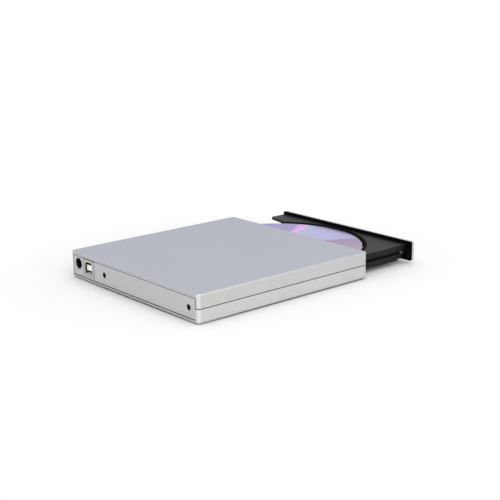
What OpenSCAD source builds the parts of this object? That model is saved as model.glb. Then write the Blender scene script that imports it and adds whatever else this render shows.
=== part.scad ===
// External slim disc drive with its tray part open, in millimetres.
// Front faces -Y, rear faces +Y, +Z is up and the feet stand on z = 0.

/* [Case] */
// Width of the case
case_w = 135; // [120:0.5:150]
// Depth of the case from its front face to its rear face
case_l = 138.5; // [124:0.5:154]
// Height of the case without its feet
case_h = 17.5; // [17:0.5:21]
// Side and end wall thickness of both covers
wall_t = 1.7; // [1.4:0.1:2]
// Floor thickness of the lower cover
floor_t = 1.1; // [0.9:0.1:1.4]
// Roof thickness of the upper cover
roof_t = 1.6; // [1.2:0.1:1.8]
// Height of the line where the two covers meet
part_z = 8.4; // [7.6:0.1:9]
// Shadow gap between the two covers
part_gap = 0.6; // [0.4:0.1:0.7]
// Radius of the four upright corners
corner_r = 2.4; // [2.3:0.1:3]
// Radius of the top and bottom edges
edge_r = 0.8; // [0.6:0.1:1.2]
// Larger radius under the front edge
front_r = 2.3; // [1.5:0.1:2.6]
// Length of the snap tongues that join the covers
snap_l = 11; // [8:0.5:14]

/* [Rear panel] */
// Thickness of the rear panel
panel_t = 1.6; // [1.3:0.1:2]
// Shadow gap between the panel and the covers
panel_gap = 0.4; // [0.3:0.1:0.5]
// Wider gap over the shadow line at the plain end of the panel
end_gap = 0.9; // [0.6:0.1:1]
// Open gap under the panel
panel_lift = 0.7; // [0.5:0.1:0.9]
// Height of the rear screws above the case underside
rear_screw_z = 8.2; // [7.6:0.1:8.5]
// Rear screw near the sockets, from the middle of the data socket
rear_screw_off = 18.1; // [16.1:0.5:21.6]
// Rear screw at the plain end, from the side of the case
rear_screw_side = 9.1; // [8.6:0.5:15.6]
// Diameter of the rear screw heads
rear_head_d = 3.1; // [2.8:0.1:3.2]

/* [Feet] */
// Diameter of a foot
foot_d = 9; // [7:0.5:11]
// Height that a foot stands proud
foot_h = 0.8; // [0.6:0.1:2]
// Distance of the feet from the case edges
foot_inset = 14; // [12:0.5:18]

/* [Sockets] */
// Middle of the square data socket, from the side of the case
usb_side = 20.2; // [19.9:0.1:20.5]
// Width of the data socket shell
usb_w = 12; // [11.6:0.1:12.2]
// Height of the data socket shell
usb_h = 10.9; // [10.5:0.1:11.1]
// Depth of the data socket shell
usb_l = 16; // [14:0.5:16.5]
// Middle of the round power socket, from the side of the case
dc_side = 8.7; // [8.5:0.1:8.8]
// Height of the power socket axis above the bridge board
dc_rise = 6.65; // [6.2:0.05:6.9]
// Outer diameter of the power socket neck
dc_neck_d = 7.3; // [7:0.1:7.5]
// Bore of the power socket
dc_bore_d = 5.9; // [5.7:0.1:6.1]
// Centre pin of the power socket
dc_pin_d = 2; // [1.6:0.1:2.5]

/* [Drive] */
// Room between the drive and the side wall of the case
drive_room = 1.8; // [1.5:0.1:2.3]
// Room behind the drive for the bridge board
rear_room = 8.5; // [8.1:0.1:9.1]
// Height of the drive chassis
drive_h = 12.7; // [12.7:0.1:13.2]
// Sheet thickness of the chassis
sheet_t = 0.5; // [0.4:0.05:0.55]

/* [Tray] */
// How far the tray is drawn out of the closed position
tray_open = 50.6; // [0:0.1:110]
// Room between the rear of the closed tray and the rear of the drive
tray_tail = 5.2; // [4.2:0.1:7.2]
// Room for the guide and the rail between the tray and the drive side
guide_room = 4.5; // [4.2:0.1:4.8]
// How much narrower the tray is on its cut-away side
cut_away = 13.5; // [13:0.5:14.5]
// Height of the tray moulding
tray_h = 9.5; // [9.3:0.1:9.7]
// Depth of the disc recess
recess_d = 2.6; // [2.4:0.1:2.7]
// Room between the disc edge and the rim of the recess
disc_room = 3; // [2.7:0.1:3.1]
// Rim of the recess behind the front plate
front_rim = 2.3; // [2:0.1:2.6]
// Thickness of the deck under the disc
deck_t = 1.6; // [1.4:0.1:1.7]
// Depth of the corner wing behind the front plate
wing_l = 14; // [12:0.5:16]
// Thickness of the corner wing
wing_t = 2.1; // [1.6:0.1:2.2]

/* [Front plate] */
// Distance from the side of the case to the end of the front plate
bezel_side = 3.5; // [3.3:0.1:4]
// Height of the front plate
bezel_h = 13.3; // [13:0.1:13.5]
// Thickness of the outer cover of the front plate
bezel_t = 2.6; // [2.4:0.1:3]
// Corners of the front plate, and the rounding of its front edges
bezel_corner = 1.3; // [1.2:0.1:2]
bezel_round = 1.2; // [0.8:0.1:1.2]
// Thickness of the black inner plate
back_t = 1; // [0.8:0.1:1.2]
// How far the closed front plate stands proud of the case, below zero where it is set back
bezel_proud = -0.2; // [-0.4:0.1:0.2]
// Middle of the eject button, from the cut-away side of the tray
button_in = 24; // [22:0.5:26]
// Width of the eject button
button_w = 10; // [8:0.5:11]
// Height of the eject button
button_h = 4; // [3.4:0.1:4.4]
// Travel of the eject button
button_travel = 0.6; // [0.4:0.1:0.7]

/* [Disc and spindle] */
// Distance of the disc edge from the thick side of the tray
disc_edge = 2.5; // [2.5:0.1:3]
// Thickness of the disc
disc_t = 1.2; // [1.1:0.1:1.3]
// Hole of the disc
disc_hole_d = 15; // [14.8:0.1:15.2]
// Spindle axis, sideways from the case middle
spin_x = 3; // [2.9:0.1:3.1]

/* [Traverse] */
// Distance of each guide rod from the line of the lens
rod_v = 12.5; // [12:0.1:12.8]
// Diameter of the guide rods
rod_d = 2; // [1.6:0.1:2.2]
// Lens distance from the spindle at the inner end
lens_in = 22; // [21.5:0.1:23]
// Distance of the lens from the disc edge at the outer end
lens_out = 2; // [2:0.5:8]
// Distance of the lead screw from the line of the lens
screw_v = 17.5; // [17.3:0.1:17.8]
// Diameter of the lead screw
screw_d = 2.4; // [2:0.1:2.6]
// Pitch of the lead screw
screw_pitch = 3; // [2:0.5:4]

/* [Rails] */
// How much shorter a guide is than the drive
guide_short = 25.6; // [22:0.2:32]
// How much shorter a rail is than its guide
rail_short = 10; // [10:0.5:16]
// Height of the tray groove
groove_h = 2.2; // [2:0.1:2.3]
// Depth of the tray groove
groove_d = 2.2; // [2:0.1:2.4]

/* [Hidden] */
$fn = 48;

// Clearances: running fit on a shaft, gap round a moving piece, gap round a seated piece
run = 0.05;
move_gap = 0.3;
seat = 0.1;
// Overlap of a cutting solid past the face it cuts
eps = 0.5;

// Widths from the case inwards: drive, tray, disc, and what is set from the sides
drive_w = case_w - 2 * (wall_t + drive_room);
tray_left = drive_w / 2 - guide_room;
tray_right = tray_left - cut_away;
disc_d = 2 * (tray_left + spin_x - disc_edge);
recess_r = disc_d / 2 + disc_room;
lens_travel = disc_d / 2 - lens_out - lens_in;
bezel_w = case_w - 2 * bezel_side;
button_x = tray_right - button_in;
usb_x = case_w / 2 - usb_side;
dc_x = case_w / 2 - dc_side;
rear_screw_x1 = usb_x - rear_screw_off;
rear_screw_x2 = rear_screw_side - case_w / 2;

// Levels of the case and the drive in it
rest_h = 0.6;
drive_z = floor_t + rest_h;
drive_top = drive_z + drive_h;
roof_z = case_h - roof_t;
bezel_z = floor_t + move_gap;
bezel_top = bezel_z + bezel_h;
mouth_w = bezel_w + 0.8;
mouth_top = bezel_top + move_gap;

// Positions front to rear, from the case front face
closed_y = bezel_t - bezel_proud;
tray_y = closed_y - tray_open;
front_reach = max(tray_open + bezel_proud, 0);
drive_y0 = closed_y + back_t + 0.6;
drive_y1 = case_l - rear_room;
drive_l = drive_y1 - drive_y0;
tray_l = drive_y1 - closed_y - tray_tail;
guide_l = drive_l - guide_short;
rail_l = guide_l - rail_short;
spin_back = recess_r + front_rim;
spin_y = tray_y + spin_back;
panel_y = case_l - panel_t;

// Levels of the tray and the disc
tray_z = drive_z + 1.4;
tray_top = tray_z + tray_h;
deck_top = tray_top - recess_d;
deck_z = deck_top - deck_t;
disc_z = deck_top + 0.8;
disc_top = disc_z + disc_t;
groove_z = tray_z + 4.7;
side_t = 4;
rim_z = tray_top - 2;
// Wall left where the disc recess comes close to the side of the tray
recess_wall = 0.8;
// Skirt under the thick side of the tray
skirt_h = 0.5;
skirt_t = 2;

// Levels of the traverse below the deck
frame_z = tray_z + 0.9;
frame_t = 0.6;
frame_top = frame_z + frame_t;
rod_z = frame_top + 1.7;
trav_turn = 225;

// Rear panel outline
panel_x = case_w / 2 - corner_r - panel_gap;
panel_z0 = floor_t + panel_gap + panel_lift;
panel_z1 = case_h - 2.8;

// Bridge board and the sockets on it
board_z = floor_t + 1.15;
board_t = 1.2;
board_top = board_z + board_t;
board_x1 = case_w / 2 - wall_t - 0.6;
notch_x = usb_x - usb_w / 2 - 0.8;
notch_y = case_l - usb_l - 3;
usb_z = board_top + usb_h / 2;
dc_z = board_top + dc_rise;

// Main board of the drive and the connector behind it
main_x0 = -drive_w / 2 + 14;
main_x1 = notch_x - 5.5;
main_y0 = drive_y1 - 29;
main_z = drive_z + sheet_t + 0.7;
con_w = 36;
con_x = (main_x0 + main_x1) / 2 + 3.5;
con_z = main_z + 2.75;

// Outer end of the traverse, past the last place of the lens
trav_u1 = lens_in + lens_travel + 8.6;
// Rear rib under the deck, in front of the main board when the tray is closed
tray_rib_y = tray_l - 29;

// Colours
silver = [0.74, 0.75, 0.78];
silver_dark = [0.70, 0.71, 0.72];
black = [0.10, 0.10, 0.10];
charcoal = [0.20, 0.20, 0.21];
steel = [0.72, 0.73, 0.74];
board_green = [0.10, 0.32, 0.18];
tin = [0.80, 0.78, 0.72];
ivory = [0.93, 0.92, 0.88];
gold = [0.83, 0.66, 0.28];
rubber = [0.13, 0.13, 0.14];
lilac = [0.68, 0.66, 0.82];
clear_blue = [0.62, 0.72, 0.86];

// Moves the model so that its middle stands over the origin on its feet
module placed() {
  translate([0, (front_reach - case_l) / 2, foot_h]) children();
}

// Box between two corners
module bar(x0, x1, y0, y1, z0, z1) {
  translate([x0, y0, z0]) cube([x1 - x0, y1 - y0, z1 - z0]);
}

// Upright round bar
module post(x, y, z0, z1, r) {
  translate([x, y, z0]) cylinder(h = z1 - z0, r = r);
}

// Round bar along Y
module bar_y(x, z, y0, y1, r) {
  translate([x, y0, z]) rotate([-90, 0, 0]) cylinder(h = y1 - y0, r = r);
}

// Flat outline with four rounded corners
module round_rect(w, l, r) {
  square([w - 2 * r, l], center = true);
  square([w, l - 2 * r], center = true);
  for (sx = [-1, 1], sy = [-1, 1])
    translate([sx * (w / 2 - r), sy * (l / 2 - r)]) circle(r);
}

// Section of a slab from its corner axis outwards, rounded at the top outer edge
module edge_section(rc, h, re) {
  square([rc, h - re]);
  square([rc - re, h]);
  translate([rc - re, h - re]) intersection() {
    circle(re);
    square(re);
  }
}

// Slab with rounded upright corners and a rounded top edge, centred on x and y
module soft_slab(w, l, h, rc, re) {
  translate([-(w / 2 - rc), -(l / 2 - rc), 0]) cube([w - 2 * rc, l - 2 * rc, h]);
  for (a = [0, 180])
    rotate([0, 0, a]) translate([-(w / 2 - rc), l / 2 - rc, 0])
      rotate([90, 0, 90]) linear_extrude(w - 2 * rc) edge_section(rc, h, re);
  for (a = [90, 270])
    rotate([0, 0, a]) translate([-(l / 2 - rc), w / 2 - rc, 0])
      rotate([90, 0, 90]) linear_extrude(l - 2 * rc) edge_section(rc, h, re);
  for (q = [[1, 1, 0], [-1, 1, 90], [-1, -1, 180], [1, -1, 270]])
    translate([q[0] * (w / 2 - rc), q[1] * (l / 2 - rc), 0])
      rotate([0, 0, q[2]]) rotate_extrude(angle = 90) edge_section(rc, h, re);
}

// Lies on the line of the lens: x runs outwards from the spindle, z stays the case level
module on_traverse() {
  translate([spin_x, spin_y, 0]) rotate([0, 0, trav_turn]) children();
}

// Countersunk or pan screw standing head down
module screw_up(x, y, z0, head_r, head_h, r, z1) {
  difference() {
    union() {
      post(x, y, z0, z0 + head_h, head_r);
      post(x, y, z0 + head_h, z1, r);
    }
    for (a = [0, 90])
      translate([x, y, z0]) rotate([0, 0, a])
        cube([head_r * 1.2, head_r * 0.3, head_h], center = true);
  }
}

// Lower cover of the case

snap_ys = [24, case_l / 2 - 3.25, case_l - 30.5];
drive_screw_x = drive_w / 2 - 24;
drive_screw_ys = [16, drive_l - 29.6];
plate_screw_ys = [drive_y0 + 8, drive_y1 - 25.6];
board_screw_xy = [[con_x - con_w / 2 - 2, case_l - 4.9], [board_x1 - 2.6, notch_y + 2.6]];

module cover_cavity(z0, z1) {
  translate([0, case_l / 2, z0]) linear_extrude(z1 - z0)
    round_rect(case_w - 2 * wall_t, case_l - 2 * wall_t, corner_r - wall_t + 0.4);
}

module rear_boss(x, z0, z1) {
  difference() {
    bar(x - 2.7, x + 2.7, drive_y1 + 0.9, case_l - 3.45, z0, z1);
    bar_y(x, rear_screw_z, drive_y1, case_l, 1.05);
  }
}

module bottom_cover() {
  color(silver) placed() {
    difference() {
      union() {
        difference() {
          translate([0, case_l / 2, part_z]) mirror([0, 0, 1])
            soft_slab(case_w, case_l, part_z, corner_r, edge_r);
          cover_cavity(floor_t, part_z + eps);
          // Mouth for the front plate
          bar(-mouth_w / 2, mouth_w / 2, -eps, wall_t + eps, floor_t, part_z + eps);
          // Opening for the rear panel
          bar(-panel_x - panel_gap / 2, panel_x + panel_gap, case_l - wall_t - eps, case_l + eps,
            panel_z0 - panel_lift, part_z + eps);
          // Larger rounding under the front edge
          translate([-case_w / 2 - eps, 0, 0]) rotate([90, 0, 90]) linear_extrude(case_w + 2 * eps)
            difference() {
              translate([-eps, -eps]) square(front_r + eps);
              translate([front_r, front_r]) circle(front_r);
            }
        }
        // Ribs that carry the drive
        for (y = [drive_y0 + 4, drive_y0 + 50, drive_y1 - 15.6])
          bar(-drive_w / 2 + 8, notch_x - 4, y, y + 2, floor_t - eps, drive_z);
        // Pads round the drive screws
        for (x = [-drive_screw_x, drive_screw_x], y = drive_screw_ys)
          post(x, drive_y0 + y, floor_t - eps, drive_z, 3.2);
        // Posts under the bridge board
        for (p = board_screw_xy)
          post(p[0], p[1], floor_t - eps, board_z, 1.9);
        bar(usb_x - 4, usb_x + 4, case_l - 8, case_l - 5, floor_t - eps, board_z);
        // Snap tongues
        for (s = [-1, 1], y = snap_ys) {
          bar(min(s * (case_w / 2 - wall_t - 1), s * (case_w / 2 - wall_t + 0.3)),
            max(s * (case_w / 2 - wall_t - 1), s * (case_w / 2 - wall_t + 0.3)),
            y, y + snap_l, part_z - 4, part_z);
          bar(min(s * (case_w / 2 - wall_t - 1), s * (case_w / 2 - wall_t - 0.2)),
            max(s * (case_w / 2 - wall_t - 1), s * (case_w / 2 - wall_t - 0.2)),
            y, y + snap_l, part_z - eps, part_z + 2.5);
        }
        rear_boss(rear_screw_x2, floor_t - eps, rear_screw_z + 2.7);
      }
      // Countersunk screw holes
      for (x = [-drive_screw_x, drive_screw_x], y = drive_screw_ys) {
        post(x, drive_y0 + y, -eps, 0.75, 2);
        post(x, drive_y0 + y, 0, drive_z + eps, 1.1);
      }
      // Pilot holes for the board screws
      for (p = board_screw_xy)
        post(p[0], p[1], floor_t - 0.6, board_z + eps, 0.8);
      // Seats for the feet
      for (x = [-1, 1], y = [foot_inset, case_l - foot_inset])
        post(x * (case_w / 2 - foot_inset), y, -eps, 0.4, foot_d / 2 + seat);
      // Rear screw bore
      bar_y(rear_screw_x2, rear_screw_z, drive_y1, case_l - 3, 1.05);
    }
  }
}

// Upper cover of the case

module top_cover() {
  shell_z = part_z + part_gap;
  color(silver) placed() {
    difference() {
      union() {
        difference() {
          translate([0, case_l / 2, shell_z])
            soft_slab(case_w, case_l, case_h - shell_z, corner_r, edge_r);
          cover_cavity(shell_z - eps, roof_z);
          bar(-mouth_w / 2, mouth_w / 2, -eps, wall_t + eps, shell_z - eps, mouth_top);
          bar(-panel_x - end_gap, panel_x + panel_gap, case_l - wall_t - eps, case_l + eps,
            shell_z - eps, panel_z1 + panel_gap);
        }
        // Ribs that hold the drive down
        for (y = [drive_y0 + 12, drive_y0 + drive_l / 2 - 0.8, drive_y1 - 19.6])
          bar(-drive_w / 2 + 6, drive_w / 2 - 6, y, y + 1.4, drive_top + 0.2, roof_z + eps);
        for (x = [-drive_w / 2 + 24, 0, drive_w / 2 - 26])
          bar(x, x + 1.4, drive_y0 + 12, drive_y1 - 19.6, drive_top + 0.7, roof_z + eps);
        rear_boss(rear_screw_x1, rear_screw_z - 2.7, roof_z + eps);
      }
      bar_y(rear_screw_x1, rear_screw_z, drive_y1, case_l - 3, 1.05);
    }
  }
}

// Rear panel with the socket openings

module usb_outline(w, h, bevel) {
  polygon([[-w / 2, -h / 2], [w / 2, -h / 2], [w / 2, h / 2 - bevel], [w / 2 - bevel, h / 2],
    [-w / 2 + bevel, h / 2], [-w / 2, h / 2 - bevel]]);
}

// Stands an outline drawn in x and z upright and runs it along Y
module along_y(y0, y1) {
  translate([0, y1, 0]) rotate([90, 0, 0]) linear_extrude(y1 - y0) children();
}

module rear_panel() {
  head_r = rear_head_d / 2 + 0.2;
  color(silver_dark) placed() {
    difference() {
      union() {
        bar(-panel_x, panel_x, panel_y, case_l - seat, panel_z0, panel_z1);
        // Tabs behind the upper cover
        for (x = [-panel_x + 18.2, con_x - 8, con_x + con_w / 2]) {
          bar(x, x + 10, panel_y - 1.5, case_l - wall_t - seat, panel_z1 - 2, panel_z1 + 0.9);
          bar(x, x + 10, panel_y - 1.5, panel_y + 0.1, panel_z1 - 2, panel_z1 - 0.3);
        }
        // Sleeves for the screw heads
        for (x = [rear_screw_x1, rear_screw_x2])
          bar_y(x, rear_screw_z, case_l - 3.4, panel_y + 0.1, 2.7);
        // Stiffening rib along the plain part
        bar(-panel_x + 14.2, rear_screw_x1 - 9.5, panel_y - 0.9, panel_y + 0.1,
          panel_z0 + 3.6, panel_z0 + 4.8);
      }
      for (x = [rear_screw_x1, rear_screw_x2]) {
        bar_y(x, rear_screw_z, case_l - 2.4, case_l + eps, head_r);
        bar_y(x, rear_screw_z, case_l - 4, case_l, 1.1);
        // Broken edge of the screw hole
        translate([x, case_l - seat + 0.01, rear_screw_z]) rotate([90, 0, 0])
          cylinder(h = 0.4, r1 = head_r + 0.4, r2 = head_r);
      }
      // Notch for the data socket, open under the roof lip
      bar(usb_x - usb_w / 2 - 0.8, usb_x + usb_w / 2 + 0.15, panel_y - eps, case_l + eps,
        board_top - 0.15, panel_z1 + eps);
      bar_y(dc_x, dc_z, panel_y - eps, case_l + eps, dc_neck_d / 2 + seat);
    }
  }
}

module rear_screws() {
  color(charcoal) placed() for (x = [rear_screw_x1, rear_screw_x2])
    difference() {
      union() {
        bar_y(x, rear_screw_z, case_l - 2.4, case_l - 1.3, rear_head_d / 2);
        bar_y(x, rear_screw_z, drive_y1 + 1.6, case_l - 2.4, 1);
      }
      for (a = [0, 90])
        translate([x, case_l - 1.3, rear_screw_z]) rotate([0, a, 0]) cube([2, 1.1, 0.5], center = true);
    }
}

// Feet and the screws that hold the drive down

module rubber_feet() {
  color(rubber) placed() for (x = [-1, 1], y = [foot_inset, case_l - foot_inset])
    translate([x * (case_w / 2 - foot_inset), y, -foot_h]) {
      cylinder(h = foot_h + 0.4 - 0.3, r = foot_d / 2);
      cylinder(h = foot_h + 0.4, r = foot_d / 2 - 0.5);
    }
}

module drive_screws() {
  color(steel) placed() for (x = [-drive_screw_x, drive_screw_x], y = drive_screw_ys)
    screw_up(x, drive_y0 + y, 0.15, 1.9, 0.6, 1, drive_z + sheet_t - 0.05);
}

// Bridge board behind the drive

module bridge_board() {
  y_strip = drive_y1 + 0.9;
  y_end = case_l - 2;
  color(board_green) placed() difference() {
    translate([0, 0, board_z]) linear_extrude(board_t)
      polygon([[con_x - con_w / 2 - 5, y_strip], [notch_x + 0.6, y_strip], [notch_x + 0.6, notch_y + 0.4],
        [board_x1, notch_y + 0.4], [board_x1, y_end], [con_x - con_w / 2 - 5, y_end]]);
    for (p = board_screw_xy)
      post(p[0], p[1], board_z - eps, board_top + eps, 0.95);
  }
}

module board_screws() {
  color(steel) placed() for (p = board_screw_xy)
    difference() {
      union() {
        post(p[0], p[1], board_top, board_top + 0.9, 1.7);
        post(p[0], p[1], floor_t - 0.5, board_top, 0.75);
      }
      for (a = [0, 90])
        translate([p[0], p[1], board_top + 0.9]) rotate([0, 0, a]) cube([2, 0.45, 0.9], center = true);
    }
}

module bridge_chips() {
  x = con_x + con_w / 2 + 4;
  y = drive_y1 + 1.3;
  color(black) placed() {
    bar(x, x + 4.6, y, y + 4.6, board_top, board_top + 0.9);
    bar(x + 5.4, x + 8.2, y + 0.4, y + 2.4, board_top, board_top + 0.8);
    bar(x + 5.4, x + 7.4, y + 3, y + 4.2, board_top, board_top + 0.7);
  }
}

module capacitor() {
  x = notch_x - 4.6;
  y = drive_y1 + 3.5;
  color(steel) placed() {
    translate([x, y, board_top + 0.5]) cube([4.3, 4.3, 1], center = true);
    post(x, y, board_top + 0.9, board_top + 5.4, 2);
  }
}

module bridge_connector() {
  y = drive_y1 + 0.9;
  color(black) placed() {
    bar(con_x - con_w / 2, con_x + con_w / 2, y, y + 4.2, board_top, board_top + 4.6);
    bar(con_x - con_w / 2 + 1.5, con_x + con_w / 2 - 1.5, y - 2.4, y + 0.2, con_z - 0.6, con_z + 0.6);
    for (s = [-1, 1])
      bar(con_x + s * (con_w / 2 - 3) - 0.6, con_x + s * (con_w / 2 - 3) + 0.6, y + 4, y + 4.7,
        board_top, board_top + 1.2);
  }
}

// Data socket

usb_plate = 0.4;
usb_open_w = 8.5;
usb_open_h = 7.8;
usb_open_bevel = 1.7;
usb_bevel = 0.6;
usb_y0 = case_l - usb_l - 0.3;
usb_y1 = case_l - 0.3;

module usb_shell() {
  color(tin) placed() difference() {
    along_y(usb_y0, usb_y1) translate([usb_x, usb_z]) usb_outline(usb_w, usb_h, usb_bevel);
    along_y(usb_y0 + usb_plate, usb_y1 - usb_plate)
      translate([usb_x, usb_z]) usb_outline(usb_w - 2 * usb_plate, usb_h - 2 * usb_plate, usb_bevel);
    // Mouth in the folded front
    along_y(usb_y1 - usb_plate - eps, usb_y1 + eps)
      translate([usb_x, usb_z]) usb_outline(usb_open_w, usb_open_h, usb_open_bevel);
    // Spring windows in the roof of the shell
    for (s = [-1, 1])
      bar(usb_x + s * 2 - 0.8, usb_x + s * 2 + 0.8, usb_y1 - 9, usb_y1 - 4, usb_z + usb_h / 2 - 1,
        usb_z + usb_h / 2 + eps);
  }
}

tongue_w = 5.6;
tongue_h = 3.4;
// The tongue lies a little above the middle of the mouth
tongue_z = usb_z + 0.3;

// White block at the back of the shell, with the floor of the mouth and the tongue in front of it
module usb_insulator() {
  y0 = usb_y0 + usb_plate;
  fit_w = usb_w - 2 * (usb_plate + run);
  fit_h = usb_h - 2 * (usb_plate + run);
  color(ivory) placed() difference() {
    union() {
      along_y(y0, y0 + 4.5) translate([usb_x, usb_z]) usb_outline(fit_w, fit_h, usb_bevel);
      bar(usb_x - usb_open_w / 2, usb_x + usb_open_w / 2, y0 + 4, usb_y1 - usb_plate - run, usb_z - fit_h / 2,
        usb_z - usb_open_h / 2);
      bar(usb_x - tongue_w / 2, usb_x + tongue_w / 2, y0 + 4, case_l - 0.9, tongue_z - tongue_h / 2,
        tongue_z + tongue_h / 2);
    }
    // Contact slots, two above and two below
    for (s = [-1, 1], t = [-1, 1])
      translate([usb_x + s * 1.25, y0 + 10, tongue_z + t * tongue_h / 2]) cube([1.1, 9, 0.5], center = true);
  }
}

module usb_contacts() {
  y0 = usb_y0 + usb_plate;
  color(gold) placed() for (s = [-1, 1], t = [-1, 1])
    translate([usb_x + s * 1.25, y0 + 10, tongue_z + t * (tongue_h / 2 - 0.13)])
      cube([0.9, 8.6, 0.24], center = true);
}

// Power socket

dc_half = 4.4;

module dc_jack() {
  y0 = case_l - 14.4;
  y1 = panel_y - seat;
  color(black) placed() difference() {
    union() {
      bar(dc_x - dc_half, dc_x + dc_half, y0, y1, board_top, dc_z + 4);
      bar_y(dc_x, dc_z, y1 - eps, case_l - 0.25, dc_neck_d / 2);
    }
    bar_y(dc_x, dc_z, y0 + 3.5, case_l + eps, dc_bore_d / 2);
    // Window for the spring contact
    bar(dc_x - 1.2, dc_x + 1.2, y0 + 5, y0 + 10, board_top - eps, dc_z);
  }
}

module dc_pin() {
  y0 = case_l - 14.4;
  color(tin) placed() {
    bar_y(dc_x, dc_z, y0 + 3.5, case_l - 2.2, dc_pin_d / 2);
    bar_y(dc_x, dc_z, y0 + 3.5, y0 + 4.2, dc_bore_d / 2 - run);
  }
}

// Drive chassis, a folded pan with a notch for the sockets

module drive_outline(inset) {
  x = drive_w / 2 - inset;
  y1 = drive_y1 - inset;
  polygon([[-x, drive_y0], [x, drive_y0], [x, notch_y - 0.6 - inset],
    [notch_x - inset, notch_y - 0.6 - inset], [notch_x - inset, y1], [-x, y1]]);
}

striker_x = tray_right - side_t - 2.5;
striker_y = closed_y + 20;

module drive_chassis() {
  color(steel) placed() {
    difference() {
      union() {
        translate([0, 0, drive_z]) linear_extrude(sheet_t) drive_outline(0);
        translate([0, 0, drive_z]) linear_extrude(drive_h - sheet_t)
          difference() {
            drive_outline(0);
            drive_outline(sheet_t);
            translate([-drive_w, drive_y0 - 1]) square([2 * drive_w, 1 + sheet_t / 2]);
          }
        // Standoffs under the main board
        for (x = [main_x0 + 3, main_x1 - 3], y = [main_y0 + 3, drive_y1 - 4])
          post(x, y, drive_z, main_z, 1.6);
        // Corner tabs that carry the top plate
        for (s = [-1, 1], y = [drive_y0 + 4, drive_y1 - 29.6])
          bar(min(s * (drive_w / 2 - 3), s * drive_w / 2), max(s * (drive_w / 2 - 3), s * drive_w / 2),
            y, y + 8, drive_top - 2 * sheet_t, drive_top - sheet_t);
      }
      // Opening for the rear connector
      bar(con_x - con_w / 2 - 0.5, con_x + con_w / 2 + 0.5, drive_y1 - 2, drive_y1 + eps,
        main_z + 0.8, main_z + 6.4);
      // Tapped holes for the screws from below
      for (x = [-drive_screw_x, drive_screw_x], y = drive_screw_ys)
        post(x, drive_y0 + y, drive_z - eps, drive_z + sheet_t + eps, 1 + run);
      for (s = [-1, 1], y = plate_screw_ys)
        post(s * (drive_w / 2 - 1.8), y, drive_top - 2, drive_top, 0.6);
      // Slots in the floor that lighten the pan
      for (x = [-30, -10, 10])
        bar(x, x + 8, drive_y0 + 58, drive_y0 + 84, drive_z - eps, drive_z + sheet_t + eps);
    }
  }
}

module drive_top_plate() {
  bead_xs = [-drive_w / 2 + 20, drive_w / 2 - 24];
  color(steel) placed() difference() {
    union() {
      translate([0, 0, drive_top - sheet_t]) linear_extrude(sheet_t) drive_outline(0);
      // Stiffening beads pressed towards the tray
      for (x = bead_xs)
        bar(x, x + 3, drive_y0 + 14, drive_y1 - 29.6, drive_top - sheet_t - 0.3, drive_top - sheet_t + 0.1);
    }
    for (x = bead_xs)
      bar(x + 0.6, x + 2.4, drive_y0 + 14.6, drive_y1 - 30.2, drive_top - 0.35, drive_top + eps);
    // Shallow pressed ring over the hub
    translate([spin_x, closed_y + spin_back, drive_top - 0.2]) difference() {
      cylinder(h = 1, r = 22);
      translate([0, 0, -0.5]) cylinder(h = 2, r = 18);
    }
    for (s = [-1, 1], y = plate_screw_ys)
      post(s * (drive_w / 2 - 1.8), y, drive_top - 1, drive_top + eps, 0.7);
  }
}

module top_plate_screws() {
  color(charcoal) placed() for (s = [-1, 1], y = plate_screw_ys) {
    post(s * (drive_w / 2 - 1.8), y, drive_top, drive_top + 0.5, 1.4);
    post(s * (drive_w / 2 - 1.8), y, drive_top - 1.6, drive_top + 0.1, 0.55);
  }
}

// Rails and their guides, drawn on the right of a tray side at x = 0

rail_h = groove_h + 0.8;
rail_reach = 3;
guide_y0 = drive_y0 + 4;

module guide_section(back) {
  flange = 0.7;
  h = rail_h + 0.4;
  difference() {
    translate([0.5, -h / 2 - flange]) square([back - 0.5, h + 2 * flange]);
    translate([0, -h / 2]) square([rail_reach + 0.2, h]);
  }
}

module rail_section() {
  lip_h = groove_h - 0.4;
  translate([-groove_d + move_gap, -lip_h / 2]) square([groove_d + 1, lip_h]);
  translate([0.6, -rail_h / 2]) square([rail_reach - 0.6, rail_h]);
}

// Puts a section drawn in x and z at one side of the tray
module at_side(s, y0, y1) {
  x = s < 0 ? -tray_left : tray_right;
  translate([x, 0, groove_z]) mirror([s < 0 ? 1 : 0, 0, 0]) along_y(y0, y1) children();
}

rail_y0 = closed_y + 24.2 - tray_open / 2;

module left_guide() {
  back = drive_w / 2 - sheet_t - tray_left - seat;
  color(ivory) placed() difference() {
    at_side(-1, guide_y0, guide_y0 + guide_l) guide_section(back);
    for (y = [guide_y0 + 20, guide_y0 + guide_l / 2, guide_y0 + guide_l - 20])
      bar(-tray_left - back - 1, -tray_left - rail_reach - 0.1, y, y + 12, groove_z - 0.8, groove_z + 0.8);
  }
}

module right_guide() {
  back = rail_reach + 0.9;
  color(ivory) placed() {
    at_side(1, guide_y0, guide_y0 + guide_l) guide_section(back);
    // Feet down to the chassis floor
    for (y = [guide_y0 + 2, guide_y0 + guide_l / 2 - 6, guide_y0 + guide_l - 12])
      bar(tray_right + rail_reach - 0.6, tray_right + back + 3, y, y + 10, drive_z + sheet_t,
        groove_z - rail_h / 2 - 0.3);
  }
}

module left_rail() {
  color(steel) placed() at_side(-1, rail_y0, rail_y0 + rail_l) rail_section();
}

module right_rail() {
  color(steel) placed() at_side(1, rail_y0, rail_y0 + rail_l) rail_section();
}

// Main board of the drive

module main_board() {
  color(board_green) placed() difference() {
    bar(main_x0, main_x1, main_y0, drive_y1 - 1, main_z, main_z + 1);
    bar(main_x0 - 1, main_x0 + 14, main_y0 - 1, main_y0 + 1.5, main_z - 1, main_z + 2);
    for (x = [main_x0 + 3, main_x1 - 3], y = [main_y0 + 3, drive_y1 - 4])
      post(x, y, main_z + 0.5, main_z + 2, 0.8);
  }
}

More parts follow.
